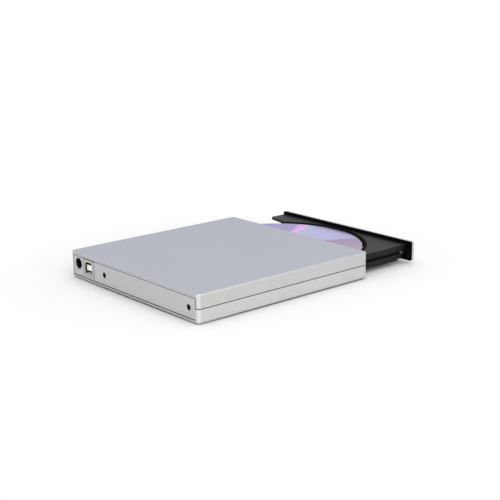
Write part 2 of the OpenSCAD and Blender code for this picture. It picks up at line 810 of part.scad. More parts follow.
module main_chips() {
  z = main_z + 1;
  color(black) placed() {
    bar(main_x0 + 14, main_x0 + 28, main_y0 + 5, main_y0 + 19, z, z + 1.4);
    bar(con_x - 10, con_x, main_y0 + 6, main_y0 + 14, z, z + 1.2);
    bar(main_x1 - 29, main_x1 - 22, main_y0 + 5, main_y0 + 11, z, z + 1);
    bar(main_x1 - 17, main_x1 - 9, main_y0 + 8, main_y0 + 16, z, z + 1.2);
    bar(main_x0 + 4, main_x0 + 9, main_y0 + 8, main_y0 + 14, z, z + 1.6);
  }
}

module drive_connector() {
  y1 = drive_y1 - 0.05;
  z1 = main_z + 1 + 3.8;
  color(ivory) placed() difference() {
    bar(con_x - con_w / 2, con_x + con_w / 2, y1 - 5.4, y1, main_z + 1, z1);
    bar(con_x - con_w / 2 + 1.2, con_x + con_w / 2 - 1.2, y1 - 3, y1 + eps, con_z - 0.9, con_z + 0.9);
  }
}

module latch_striker() {
  color(steel) placed() {
    post(striker_x, striker_y, drive_z + sheet_t, drive_z + sheet_t + 0.4, 2);
    post(striker_x, striker_y, drive_z + sheet_t, tray_z + 4, 1.2);
  }
}

// Tray moulding with the disc recess, the traverse window and the side grooves

notch_room = sheet_t + move_gap + 0.1;
tray_r_end = notch_x - notch_room;
tray_step = notch_y - 0.6 - notch_room - closed_y;
shield_screw_xy = [[-tray_left + 6.6, 40], [-tray_left + 6.6, tray_rib_y - 3],
  [tray_right - side_t - 8, 30], [tray_right - side_t - 8, tray_rib_y - 3], [-14, tray_rib_y - 3],
  [button_x - 16, 6]];
damper_uv = [[-17, -11], [-17, 11], [trav_u1 + 3.4, 0]];
hook_xs = [-tray_left + 17.5, tray_right - 14];

// The stepped rear corner clears the notch of the closed drive
module tray_outline() {
  polygon([[-tray_left, back_t], [tray_right, back_t],
    [tray_right, tray_step - (tray_right - tray_r_end)], [tray_r_end, tray_step],
    [tray_r_end, tray_l], [-tray_left, tray_l]]);
}

module tray_cavity_outline() {
  x0 = -tray_left + side_t;
  x1 = tray_right - side_t;
  translate([x0, back_t + 2]) square([x1 - x0, tray_l - back_t]);
}

module traverse_window_outline() {
  circle(17);
  translate([0, -11.5]) square([lens_in + lens_travel + 2.9, 23]);
}

module tray() {
  sx = spin_x;
  sy = spin_back;
  color(charcoal) placed() translate([0, tray_y, 0]) {
    difference() {
      union() {
        difference() {
          union() {
            translate([0, 0, tray_z]) linear_extrude(tray_h) tray_outline();
            // Thin corner wing on the cut-away side
            translate([0, 0, tray_top - wing_t]) linear_extrude(wing_t)
              polygon([[tray_right - 1, back_t], [bezel_w / 2 - 1.3, back_t],
                [bezel_w / 2 - 1.3, wing_l], [tray_right - 1, wing_l + 3.5]]);
          }
          // Hollow underside, open to the rear
          translate([0, 0, tray_z - eps]) linear_extrude(deck_z - tray_z + eps) tray_cavity_outline();
          // Hollow under the rim outside the recess
          translate([0, 0, deck_z - 0.1]) linear_extrude(rim_z - deck_z + 0.1) difference() {
            intersection() {
              tray_cavity_outline();
              translate([-tray_left, 0]) square([drive_w, tray_rib_y - 1]);
            }
            translate([sx, sy]) circle(recess_r + 0.9);
          }
        }
        // Skirt along the thick side
        bar(-tray_left, -tray_left + skirt_t, 9.5, tray_l - 1, tray_z - skirt_h, tray_z + 0.1);
        // Posts for the shield screws
        for (p = shield_screw_xy)
          post(p[0], p[1], tray_z, deck_z + 0.2, 2.2);
        // Posts over the damper bushes
        translate([sx, sy, 0]) rotate([0, 0, trav_turn]) for (p = damper_uv)
          post(p[0], p[1], frame_top + 0.5, (norm(p) > recess_r ? rim_z : deck_z) + 0.2, 2.2);
        // Ribs under the deck
        bar(-tray_left + 1, striker_x - 3, tray_rib_y, tray_rib_y + 1.4, deck_z - 2.2, deck_z + 0.2);
        bar(spin_x + 17, spin_x + 18.4, 46, tray_rib_y + 1, deck_z - 2.2, deck_z + 0.2);
        bar(spin_x - 37, spin_x - 35.6, 62, tray_rib_y + 1, deck_z - 2.2, deck_z + 0.2);
        // Rib behind the switch board
        bar(button_x - 12, button_x + 6, back_t + 6.2, back_t + 7.4, deck_z - 3.4, deck_z + 0.2);
        bar(button_x + 6.2, button_x + 7.4, back_t + 1, back_t + 6.6, deck_z - 3.4, deck_z + 0.2);
      }
      // Disc recess with a sloping wall, kept inside the thin side wall
      intersection() {
        union() {
          translate([sx, sy, deck_top]) cylinder(h = recess_d, r1 = recess_r - 0.9, r2 = recess_r);
          translate([sx, sy, tray_top - 0.01]) cylinder(h = 1, r = recess_r);
        }
        bar(-tray_left + recess_wall, tray_left, 0, tray_l + eps, deck_top, tray_top + 2);
      }
      // Smaller step for small discs
      translate([sx, sy, deck_top - 0.5]) cylinder(h = 1, r = 41);
      // Window over the traverse
      translate([sx, sy, deck_z - 1]) rotate([0, 0, trav_turn]) linear_extrude(deck_t + 2)
        traverse_window_outline();
      // Side grooves for the rails
      bar(-tray_left - eps, -tray_left + groove_d, -eps, tray_l + eps, groove_z - groove_h / 2,
        groove_z + groove_h / 2);
      bar(tray_right - groove_d, tray_right + eps, wing_l, tray_l + eps, groove_z - groove_h / 2,
        groove_z + groove_h / 2);
      // Relieved lower front corner
      difference() {
        bar(-tray_left - eps, -tray_left + side_t + eps, -eps, 9.5, tray_z - eps,
          groove_z - groove_h / 2 + 0.1);
        post(-tray_left + 2.4, 5.8, tray_z - 1, groove_z, 2.2);
      }
      // Slots for the front plate hooks
      for (x = hook_xs)
        bar(x - 0.2, x + 8.2, 0, back_t + 2.5, tray_z + 1.5, tray_z + 3.5);
      // Holes for the button stem and the light pipe
      bar_y(button_x, ctrl_z, 0, back_t + 3, 1.6);
      bar_y(hole_x, ctrl_z, 0, back_t + 3, 0.9);
      bar(light_x - 1.7, light_x + 1.7, 0, back_t + 3, ctrl_z - 1, ctrl_z + 1);
      // Pilot holes
      for (p = shield_screw_xy)
        post(p[0], p[1], tray_z - eps, tray_z + 4, 0.8);
      translate([sx, sy, 0]) rotate([0, 0, trav_turn]) for (p = damper_uv)
        post(p[0], p[1], frame_top, deck_z - 0.4, 1);
      // Bore for the latch pivot
      post(latch_x, latch_y, deck_z - 1, rim_z + 0.8, 1);
    }
  }
}

// Front plate: black inner plate with hooks, silver outer cover

bezel_mid = bezel_z + bezel_h / 2;
ctrl_z = bezel_z + 5;
light_x = button_x - 9.5;
hole_x = button_x - 15;

module bezel_back() {
  color(black) placed() translate([0, tray_y, 0]) difference() {
    union() {
      along_y(0, back_t) translate([0, bezel_mid]) round_rect(bezel_w, bezel_h, bezel_corner);
      // Hooks through the tray front
      for (x = hook_xs) {
        bar(x, x + 8, back_t - 0.1, back_t + 3.4, tray_z + 1.8, tray_z + 3.2);
        bar(x, x + 8, back_t + 2.3, back_t + 3.4, tray_z + 1.8, tray_z + 4.2);
      }
      // Ribs at both ends
      for (s = [-1, 1])
        translate([s * (bezel_w / 2 - 1.6) - 0.6, back_t - 0.1, 0]) rotate([90, 0, 90]) linear_extrude(1.2)
          polygon([[0, bezel_z + 1.2], [1.4, bezel_z + 1.2], [2.4, bezel_z + 3], [2.4, tray_top - 4],
            [1, tray_top - 2.6], [0, tray_top - 2.6]]);
    }
    bar_y(button_x, ctrl_z, -eps, back_t + eps, 1.5);
    bar(light_x - 1.6, light_x + 1.6, -eps, back_t + eps, ctrl_z - 0.9, ctrl_z + 0.9);
    bar_y(hole_x, ctrl_z, -eps, back_t + eps, 0.8);
  }
}

module bezel_cover() {
  pocket_w = button_w + 2.4;
  pocket_h = button_h + 2.4;
  color(silver) placed() translate([0, tray_y, 0]) difference() {
    translate([0, 0, bezel_mid]) rotate([90, 0, 0])
      soft_slab(bezel_w, bezel_h, bezel_t, bezel_corner, bezel_round);
    // Opening and pocket of the eject button
    along_y(-bezel_t - eps, 0) translate([button_x, ctrl_z])
      round_rect(button_w + 0.6, button_h + 0.6, button_h / 2 - 0.1);
    along_y(-1.9, eps) translate([button_x, ctrl_z]) round_rect(pocket_w, pocket_h, 1);
    // Light window and the hole for hand release
    bar(light_x - 1.6, light_x + 1.6, -bezel_t - eps, eps, ctrl_z - 0.9, ctrl_z + 0.9);
    bar_y(hole_x, ctrl_z, -bezel_t - eps, eps, 0.7);
    // Finger line under the lower edge
    bar(-22, -2, -bezel_t - eps, -bezel_t + 0.5, bezel_z - eps, bezel_z + 1.3);
  }
}

module eject_button() {
  color(silver_dark) placed() translate([0, tray_y, 0]) {
    along_y(-bezel_t - 0.3, -1) translate([button_x, ctrl_z])
      round_rect(button_w, button_h, button_h / 2 - 0.4);
    along_y(-1.8, -1) translate([button_x, ctrl_z])
      round_rect(button_w + 1.6, button_h + 1.6, 0.8);
    bar_y(button_x, ctrl_z, -1.1, back_t + 3.3 - button_travel, 1.1);
  }
}

module switch_board() {
  color(board_green) placed() translate([0, tray_y, 0])
    bar(button_x - 12.6, button_x + 6, back_t + 5.2, back_t + 6.2, tray_z + 0.5, deck_z - seat);
}

module eject_switch() {
  color(black) placed() translate([0, tray_y, 0]) {
    bar(button_x - 2.6, button_x + 2.6, back_t + 4, back_t + 5.2, ctrl_z - 1.6, ctrl_z + 1.6);
    bar_y(button_x, ctrl_z, back_t + 3.4, back_t + 4.1, 0.8);
  }
}

module light_pipe() {
  color(clear_blue) placed() translate([0, tray_y, 0]) {
    bar(light_x - 1.5, light_x + 1.5, -bezel_t + 0.1, back_t + 4.4, ctrl_z - 0.8, ctrl_z + 0.8);
    bar(light_x - 1.5, light_x + 1.5, back_t + 3.2, back_t + 5.2, ctrl_z - 1.4, ctrl_z + 1.4);
  }
}

// Shield plate under the tray

module tray_shield() {
  plate = 0.4;
  color(steel) placed() translate([0, tray_y, 0]) difference() {
    translate([0, 0, tray_z - plate]) linear_extrude(plate)
      polygon([[-tray_left + 2.4, 12], [-tray_left + 19.5, 4], [button_x - 12, 4],
        [tray_right - side_t - 5.4, 24], [tray_right - side_t - 5.4, tray_rib_y + 2],
        [-tray_left + 2.4, tray_rib_y + 2]]);
    for (p = shield_screw_xy)
      post(p[0], p[1], tray_z - 1, tray_z + 1, 0.9);
    // Cooling slots
    for (i = [0 : 4])
      bar(-tray_left + 15.5, -tray_left + 33.5, tray_rib_y - 23 + i * 4, tray_rib_y - 21.4 + i * 4,
        tray_z - 1, tray_z + 1);
  }
}

module shield_screws() {
  color(charcoal) placed() translate([0, tray_y, 0]) for (p = shield_screw_xy) {
    post(p[0], p[1], tray_z - 0.6, tray_z - 0.4, 1.6);
    post(p[0], p[1], tray_z - 0.5, tray_z + 3.6, 0.75);
  }
}

// Latch: solenoid, pivot and hooked lever

latch_x = striker_x - 7;
latch_y = 9.5;
latch_z = tray_z + 1.6;
latch_t = 1.6;
latch_turn = 14;

module solenoid() {
  color(gold) placed() translate([0, tray_y, 0]) {
    bar(latch_x - 20.5, latch_x - 8.5, 14, 20, deck_z - 4.4, deck_z - 0.4);
    bar(latch_x - 21.5, latch_x - 20.3, 13.4, 20.6, deck_z - 4.8, deck_z);
    bar(latch_x - 8.7, latch_x - 7.5, 13.4, 20.6, deck_z - 4.8, deck_z);
  }
}

module latch_pivot() {
  color(steel) placed() translate([0, tray_y, 0]) {
    post(latch_x, latch_y, latch_z - 0.5, rim_z + 0.7, 1 - run);
    post(latch_x, latch_y, latch_z - 0.9, latch_z - 0.4, 1.8);
  }
}

// Drawn hooked round the striker, then turned back to its released place
module latch_lever() {
  hook_y = striker_y - closed_y + 1.2 + move_gap;
  dx = striker_x - latch_x;
  color(ivory) placed() translate([latch_x, tray_y + latch_y, latch_z]) rotate([0, 0, latch_turn])
    difference() {
      union() {
        linear_extrude(latch_t) polygon([[-2.6, -2], [2.6, -2], [dx - 2, 4], [dx - 2, hook_y - latch_y],
          [dx + 0.9, hook_y - latch_y], [dx - 0.4, hook_y - latch_y + 2], [dx - 4, hook_y - latch_y + 2],
          [dx - 4.4, 6], [-2.6, 2]]);
        cylinder(h = latch_t + 1, r = 2.2);
        // Arm to the solenoid
        linear_extrude(latch_t) polygon([[-1, -1.6], [-1, 1.6], [-7, 3.6], [-7, 1.4]]);
      }
      translate([0, 0, -eps]) cylinder(h = latch_t + 2, r = 1 + run);
    }
}

// Traverse: frame, dampers, rods, motors and cover

module frame_outline() {
  polygon([[-16, -15.5], [trav_u1, -15.5], [trav_u1, 20.4], [trav_u1 - 2.6, 22], [8, 22], [-4, 15.5],
    [-16, 15.5]]);
  for (p = damper_uv)
    translate(p) circle(4);
  translate([trav_u1 - 2.6, -4]) square([6, 8]);
}

module traverse_frame() {
  lip = 1.6;
  color(steel) placed() on_traverse() difference() {
    union() {
      translate([0, 0, frame_z]) linear_extrude(frame_t) frame_outline();
      // Upright lips that hold the rods
      for (u = [11, trav_u1 - 2], v = [-rod_v, rod_v])
        bar(u, u + lip, v - 2, v + 2, frame_z, rod_z + 1.8);
      // Lips that hold the lead screw and the motor
      bar(trav_u1 - 1.3, trav_u1, screw_v - 2.2, screw_v + 2.2, frame_z, rod_z + 1.6);
      bar(20.9, 22.1, screw_v - 2, screw_v + 3.6, frame_z, rod_z + 1.6);
      // Lips that carry the cover
      for (v = [-11.1, 9.7])
        bar(11, 12.6, v, v + 1.4, frame_z, deck_z - 0.4);
      bar(trav_u1 - 2, trav_u1 - 0.4, -6, 6, frame_z, deck_z - 0.4);
    }
    // Window under the pickup
    difference() {
      bar(13.4, trav_u1 - 3.6, -9, 9, frame_z - 1, frame_top + 1);
      post(0, 0, frame_z - 2, frame_top + 2, 16);
    }
    for (p = damper_uv)
      post(p[0], p[1], frame_z - 1, frame_top + 1, 2);
    for (v = [-rod_v, rod_v])
      translate([0, v, rod_z]) rotate([0, 90, 0]) cylinder(h = trav_u1 + eps, r = rod_d / 2 + run);
    translate([20, screw_v, rod_z]) rotate([0, 90, 0]) cylinder(h = trav_u1 - 20 + eps, r = 0.8 + run);
  }
}

module damper_bushes() {
  color(rubber) placed() on_traverse() for (p = damper_uv)
    translate([p[0], p[1], 0]) rotate_extrude() polygon([[1.05, frame_z - 0.3], [2.8, frame_z - 0.3],
      [2.8, frame_z], [2, frame_z], [2, frame_top], [2.8, frame_top], [2.8, frame_top + 0.5],
      [1.05, frame_top + 0.5]]);
}

module damper_screws() {
  color(charcoal) placed() on_traverse() for (p = damper_uv) {
    post(p[0], p[1], frame_z - 0.7, frame_z - 0.3, 2.2);
    post(p[0], p[1], frame_z - 0.4, deck_z - 0.6, 0.95);
  }
}

module guide_rods() {
  color(steel) placed() on_traverse() for (v = [-rod_v, rod_v])
    translate([11, v, rod_z]) rotate([0, 90, 0]) cylinder(h = trav_u1 - 11.4, r = rod_d / 2);
}

motor_z = frame_top;
can_z = motor_z + 0.9;
can_top = deck_top - 1;

module spindle_motor() {
  teeth = 9;
  color(charcoal) placed() translate([spin_x, spin_y, 0]) {
    difference() {
      union() {
        post(0, 0, motor_z, motor_z + 0.5, 14.5);
        post(0, 0, motor_z, can_top - 1.6, 3);
        // Laminated star with its teeth
        post(0, 0, motor_z + 1.6, motor_z + 2.6, 5);
        for (i = [0 : teeth - 1])
          rotate([0, 0, i * 360 / teeth]) {
            bar(2, 9.4, -0.7, 0.7, motor_z + 1.6, motor_z + 2.6);
            bar(8.4, 9.8, -2, 2, motor_z + 1.6, motor_z + 2.6);
          }
      }
      post(0, 0, motor_z + 0.1, can_top, 1.5);
    }
  }
}

module sled_motor() {
  color(steel) placed() on_traverse() difference() {
    union() {
      bar(11.4, 20.4, screw_v - 2, screw_v + 3.6, frame_top, rod_z + 1.6);
      translate([11, screw_v, rod_z]) rotate([0, 90, 0]) cylinder(h = 9.8, r = 1.5);
      bar(13.4, 18.4, screw_v - 1.4, screw_v + 3, frame_top, rod_z + 1.9);
    }
    translate([9, screw_v, rod_z]) rotate([0, 90, 0]) cylinder(h = 20, r = 0.8 + run);
  }
}

module mechanism_cover() {
  plate = 0.3;
  slot_u = 15.5;
  color(black) placed() on_traverse() translate([0, 0, deck_z - 0.4]) linear_extrude(plate)
    difference() {
      union() {
        intersection() {
          circle(16.4);
          translate([-20, -20]) square([30.6, 40]);
        }
        translate([10, -10.2]) square([trav_u1 - 10.4, 20.4]);
      }
      circle(12.2);
      translate([slot_u, -8.4]) square([lens_in + lens_travel + 5.4 - slot_u, 16.8]);
    }
}

// Turntable with its pad and claws, and the disc

module turntable() {
  flange_z = disc_z - 0.4;
  boss_r = disc_hole_d / 2 - 0.1;
  color(steel) placed() translate([spin_x, spin_y, 0]) difference() {
    rotate_extrude() polygon([[0, can_top - 0.9], [10.6, can_top - 0.9], [10.6, can_z], [11.4, can_z],
      [11.4, can_top], [15.4, can_top + 0.2], [15.4, flange_z], [boss_r, flange_z],
      [boss_r, disc_top + 0.6], [boss_r - 0.9, disc_top + 1.2], [0, disc_top + 1.2]]);
    // Pockets of the claws and the eyelet in the middle
    for (a = [0, 120, 240])
      rotate([0, 0, a]) bar(boss_r - 2.4, boss_r + 1, -1.4, 1.4, disc_top - 0.4, disc_top + 2);
    post(0, 0, disc_top + 0.5, disc_top + 2, 2);
  }
  color(steel) placed() translate([spin_x, spin_y, 0]) post(0, 0, motor_z + 0.3, can_top - 0.5, 1.5 - run);
}

module turntable_pad() {
  color(rubber) placed() translate([spin_x, spin_y, disc_z - 0.4]) difference() {
    cylinder(h = 0.4, r = 15);
    translate([0, 0, -1]) cylinder(h = 3, r = 10.5);
  }
}

module hub_claws() {
  boss_r = disc_hole_d / 2 - 0.1;
  color(ivory) placed() translate([spin_x, spin_y, 0]) for (a = [0, 120, 240])
    rotate([0, 0, a]) translate([0, 1.2, 0]) rotate([90, 0, 0]) linear_extrude(2.4)
      polygon([[boss_r - 2.4, disc_top - 0.4], [boss_r - 0.1, disc_top - 0.4], [boss_r - 0.1, disc_top + 0.1],
        [boss_r + 0.5, disc_top + 0.3], [boss_r - 0.3, disc_top + 0.9], [boss_r - 2.4, disc_top + 0.9]]);
}

module disc() {
  r = disc_d / 2;
  h = disc_hole_d / 2;
  color(lilac) placed() translate([spin_x, spin_y, disc_z]) rotate_extrude() difference() {
    polygon([[h, 0], [r - 0.2, 0], [r, 0.2], [r, disc_t - 0.2], [r - 0.2, disc_t], [h, disc_t]]);
    // Stacking ring groove
    translate([16.6, disc_t - 0.15]) square([0.9, 1]);
  }
}

// Pickup sled with lens, cover and feed nut

module pickup() {
  z0 = frame_top + 0.3;
  z1 = deck_z - 0.6;
  u0 = lens_in - 11;
  u1 = lens_in + 6;
  color(charcoal) placed() on_traverse() difference() {
    union() {
      bar(u0 + 3, u1, -rod_v - 2.2, rod_v + 2.2, z0, z1);
      bar(u0 + 5, u1 - 1, -8, 8, z0, deck_z - 0.3);
    }
    // Hollow that clears the spindle motor
    post(0, 0, 0, deck_top, 16.2);
    translate([0, rod_v, rod_z]) rotate([0, 90, 0]) cylinder(h = 60, r = rod_d / 2 + run);
    // Open fork on the second rod
    bar(0, 60, -rod_v - 4, -rod_v + rod_d / 2 + 0.2, rod_z - rod_d / 2 - run, rod_z + rod_d / 2 + run);
    // Pocket of the lens mount
    bar(lens_in - 5, lens_in + 2.7, -5.2, 5.2, deck_z - 1.6, deck_z + 1);
  }
}

module lens_cover() {
  z0 = deck_z - 1.6;
  z1 = deck_z + 0.5;
  color(black) placed() on_traverse() difference() {
    bar(lens_in - 4.8, lens_in + 2.5, -5, 5, z0, z1);
    bar(lens_in - 4, lens_in + 1.7, -4.2, 4.2, z0 - 0.5, z1 - 0.6);
    post(lens_in, 0, z0, z1 + 1, 2.3);
  }
}

module objective_lens() {
  z0 = deck_z - 1.6;
  color(clear_blue) placed() on_traverse() translate([lens_in, 0, z0]) difference() {
    union() {
      cylinder(h = 1.8, r = 2.1);
      translate([0, 0, 1.6]) intersection() {
        translate([0, 0, -2.2]) sphere(r = 3);
        cylinder(h = 2, r = 1.8);
      }
    }
    translate([0, 0, -eps]) cylinder(h = 1, r = 1.2);
  }
}

module feed_nut() {
  u = lens_in + 1.2;
  color(ivory) placed() on_traverse() difference() {
    bar(u, u + 2.8, rod_v + 2.2, screw_v + 0.3, rod_z - 1.4, rod_z + 1.5);
    translate([0, screw_v, rod_z]) rotate([0, 90, 0]) cylinder(h = 60, r = screw_d / 2 + run);
  }
}

// Lead screw as a row of ridges on its core, with thin ends
module lead_screw() {
  core = screw_d / 2 - 0.3;
  tip = screw_d / 2;
  u0 = 22.6;
  u1 = trav_u1 - 1.8;
  turns = floor((u1 - u0 - 1) / (screw_pitch / 2));
  step = (u1 - u0 - 1) / turns;
  ridges = [for (i = [0 : turns - 1], k = [[core, 0.1], [tip, 0.35], [tip, 0.65], [core, 0.9]])
    [k[0], u0 + 0.5 + (i + k[1]) * step]];
  color(steel) placed() on_traverse() translate([0, screw_v, rod_z]) rotate([0, 90, 0])
    rotate_extrude() polygon(concat([[0, 10.6], [0.8, 10.6], [0.8, u0], [core, u0]], ridges,
      [[core, u1], [0.8, u1], [0.8, trav_u1 + 0.2], [0, trav_u1 + 0.2]]));
}

bottom_cover();
top_cover();
rear_panel();
rear_screws();
rubber_feet();
drive_screws();
bridge_board();
board_screws();
bridge_chips();
capacitor();
bridge_connector();
usb_shell();
usb_insulator();
usb_contacts();
dc_jack();
dc_pin();
drive_chassis();
drive_top_plate();
top_plate_screws();
left_guide();
right_guide();
main_board();
main_chips();
drive_connector();
latch_striker();
left_rail();
right_rail();
tray();
bezel_back();
bezel_cover();
tray_shield();
shield_screws();
switch_board();
eject_switch();
light_pipe();
solenoid();
latch_pivot();
traverse_frame();
damper_bushes();
damper_screws();
spindle_motor();
guide_rods();
sled_motor();
mechanism_cover();
turntable();
turntable_pad();
hub_claws();
disc();
pickup();
lens_cover();
objective_lens();
feed_nut();
lead_screw();
eject_button();
latch_lever();
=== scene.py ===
import math
import random

import bpy
import bmesh
from mathutils import Matrix, Vector


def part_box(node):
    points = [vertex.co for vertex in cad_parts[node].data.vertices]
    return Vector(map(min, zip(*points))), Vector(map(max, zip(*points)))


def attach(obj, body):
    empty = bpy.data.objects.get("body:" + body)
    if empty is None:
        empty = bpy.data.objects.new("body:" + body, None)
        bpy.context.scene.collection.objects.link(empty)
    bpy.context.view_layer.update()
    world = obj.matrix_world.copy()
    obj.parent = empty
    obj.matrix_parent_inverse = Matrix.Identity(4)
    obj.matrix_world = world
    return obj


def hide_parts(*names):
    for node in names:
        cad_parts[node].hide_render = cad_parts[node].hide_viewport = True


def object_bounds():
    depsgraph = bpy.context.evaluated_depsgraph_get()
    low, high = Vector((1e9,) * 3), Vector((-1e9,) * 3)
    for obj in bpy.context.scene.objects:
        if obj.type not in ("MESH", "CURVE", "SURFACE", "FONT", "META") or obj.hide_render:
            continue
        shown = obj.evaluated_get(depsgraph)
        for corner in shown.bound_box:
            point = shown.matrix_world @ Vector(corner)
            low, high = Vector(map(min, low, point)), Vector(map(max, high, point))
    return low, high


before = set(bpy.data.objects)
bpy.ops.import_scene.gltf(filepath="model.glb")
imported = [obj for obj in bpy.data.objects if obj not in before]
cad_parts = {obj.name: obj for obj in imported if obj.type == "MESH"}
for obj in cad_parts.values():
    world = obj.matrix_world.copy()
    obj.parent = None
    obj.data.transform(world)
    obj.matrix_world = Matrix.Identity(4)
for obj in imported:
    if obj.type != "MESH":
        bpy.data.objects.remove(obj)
cad_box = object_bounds()

# The viewing angle of the photograph: from behind and to one side, a little above the roof.
# The lens covers 26 degrees, and the frame is turned by under a degree.
VIEW_AZIMUTH = math.radians(229.57)
VIEW_ELEVATION = math.radians(15.079)
VIEW_ROLL = math.radians(-0.662)
VIEW_PLACE = Vector((-0.526507, 0.446333, 0.200057))
SENSOR_WIDTH = 36.0
LENS_LENGTH = 77.303
NEAREST_SEEN = 0.01
FURTHEST_SEEN = 200.0
view_back = Vector((
    math.sin(VIEW_AZIMUTH) * math.cos(VIEW_ELEVATION),
    -math.cos(VIEW_AZIMUTH) * math.cos(VIEW_ELEVATION),
    math.sin(VIEW_ELEVATION),
))
level_right = Vector((0, 0, 1)).cross(view_back).normalized()
level_up = view_back.cross(level_right)
view_right = level_right * math.cos(VIEW_ROLL) + level_up * math.sin(VIEW_ROLL)
view_up = level_up * math.cos(VIEW_ROLL) - level_right * math.sin(VIEW_ROLL)
lens_data = bpy.data.cameras.new("photo_view")
lens_data.sensor_width = SENSOR_WIDTH
lens_data.lens = LENS_LENGTH
lens_data.clip_start = NEAREST_SEEN
lens_data.clip_end = FURTHEST_SEEN
camera = bpy.data.objects.new("photo_view", lens_data)
bpy.context.scene.collection.objects.link(camera)
camera.matrix_world = Matrix((
    (view_right.x, view_up.x, view_back.x, VIEW_PLACE.x),
    (view_right.y, view_up.y, view_back.y, VIEW_PLACE.y),
    (view_right.z, view_up.z, view_back.z, VIEW_PLACE.z),
    (0, 0, 0, 1),
))
bpy.context.scene.camera = camera
bpy.context.scene.view_settings.view_transform = "Standard"

# The studio: a wide sheet of white paper under a white surround, with one soft lamp high at the side.
# The surround is white to the eye and in reflections, and lights the object less than that.
# The paper keeps the shadow near the object and runs out to plain white further off.
SURROUND_LIGHT = (0.912, 0.939, 0.945, 1.0)
SURROUND_SEEN = (1.0, 1.0, 1.0, 1.0)
PAPER_LIT = (0.93, 0.93, 0.93, 1.0)
PAPER_SEEN = (0.825, 0.825, 0.825, 1.0)
PAPER_NEAR = 0.09
PAPER_FAR = 0.18
PAPER_HALF = 30.0
CONTACT_REACH = 0.010
CONTACT_SHADE = 0.76
KEY_COLOUR = (1.0, 0.95, 0.875)
KEY_WATTS = 8.9
KEY_SIZE = 1.1
KEY_PLACE = Vector((-1.0, 0.2, 0.72))


def wired(tree, kind, feeds=None, **settings):
    node = tree.nodes.new(kind)
    for label, value in settings.items():
        setattr(node, label, value)
    for label, value in (feeds or {}).items():
        if isinstance(value, bpy.types.NodeSocket):
            tree.links.new(value, node.inputs[label])
        else:
            node.inputs[label].default_value = value
    return node


def figure(tree, operation, first, second=0.0):
    return wired(tree, "ShaderNodeMath", {0: first, 1: second}, operation=operation).outputs[0]


def distance(tree, place):
    return wired(tree, "ShaderNodeVectorMath", {0: place}, operation="LENGTH").outputs["Value"]


def own_place(tree):
    return wired(tree, "ShaderNodeTexCoord").outputs["Object"]


def seen_share(tree):
    path = wired(tree, "ShaderNodeLightPath").outputs
    eye = figure(tree, "MAXIMUM", path["Is Camera Ray"], path["Is Glossy Ray"])
    return figure(tree, "MAXIMUM", eye, path["Is Transmission Ray"])


surround = bpy.data.worlds.new("studio")
bpy.context.scene.world = surround
surround.use_nodes = True
air = surround.node_tree
air.nodes.clear()
air_lit = wired(air, "ShaderNodeBackground", {"Color": SURROUND_LIGHT})
air_seen = wired(air, "ShaderNodeBackground", {"Color": SURROUND_SEEN})
air_mix = wired(air, "ShaderNodeMixShader", {
    0: seen_share(air), 1: air_lit.outputs[0], 2: air_seen.outputs[0]})
wired(air, "ShaderNodeOutputWorld", {"Surface": air_mix.outputs[0]})

paper_finish = bpy.data.materials.new("studio_paper")
paper_finish.use_nodes = True
paper_tree = paper_finish.node_tree
paper_tree.nodes.clear()
paper_seen = seen_share(paper_tree)
paper_tone = wired(paper_tree, "ShaderNodeMix", {
    "Factor": paper_seen, "A": PAPER_LIT, "B": PAPER_SEEN}, data_type="RGBA")
paper_fade = wired(paper_tree, "ShaderNodeMapRange", {
    "Value": distance(paper_tree, own_place(paper_tree)), "From Min": PAPER_NEAR, "From Max": PAPER_FAR},
    interpolation_type="SMOOTHSTEP")
paper_share = figure(paper_tree, "MULTIPLY", paper_fade.outputs["Result"], paper_seen)
paper_open = wired(paper_tree, "ShaderNodeAmbientOcclusion", {"Distance": CONTACT_REACH})
paper_contact = wired(paper_tree, "ShaderNodeMapRange", {
    "Value": paper_open.outputs["AO"], "To Min": CONTACT_SHADE})
paper_shaded = wired(paper_tree, "ShaderNodeVectorMath", {
    0: paper_tone.outputs["Result"], "Scale": paper_contact.outputs["Result"]}, operation="SCALE")
paper_skin = wired(paper_tree, "ShaderNodeBsdfDiffuse", {"Color": paper_shaded.outputs[0]})
paper_white = wired(paper_tree, "ShaderNodeEmission")
paper_mix = wired(paper_tree, "ShaderNodeMixShader", {
    0: paper_share, 1: paper_skin.outputs[0], 2: paper_white.outputs[0]})
wired(paper_tree, "ShaderNodeOutputMaterial", {"Surface": paper_mix.outputs[0]})
paper_corners = [(x * PAPER_HALF, y * PAPER_HALF, 0) for x, y in ((-1, -1), (1, -1), (1, 1), (-1, 1))]
paper_mesh = bpy.data.meshes.new("floor")
paper_mesh.from_pydata(paper_corners, [], [(0, 1, 2, 3)])
paper_mesh.materials.append(paper_finish)
paper_sheet = bpy.data.objects.new("floor", paper_mesh)
bpy.context.scene.collection.objects.link(paper_sheet)

key_data = bpy.data.lights.new("key_softbox", "AREA")
key_data.energy = KEY_WATTS
key_data.color = KEY_COLOUR
key_data.size = KEY_SIZE
key = bpy.data.objects.new("key_softbox", key_data)
key.location = KEY_PLACE
key.rotation_mode = "QUATERNION"
key.rotation_quaternion = (-KEY_PLACE).to_track_quat("-Z", "Y")
bpy.context.scene.collection.objects.link(key)

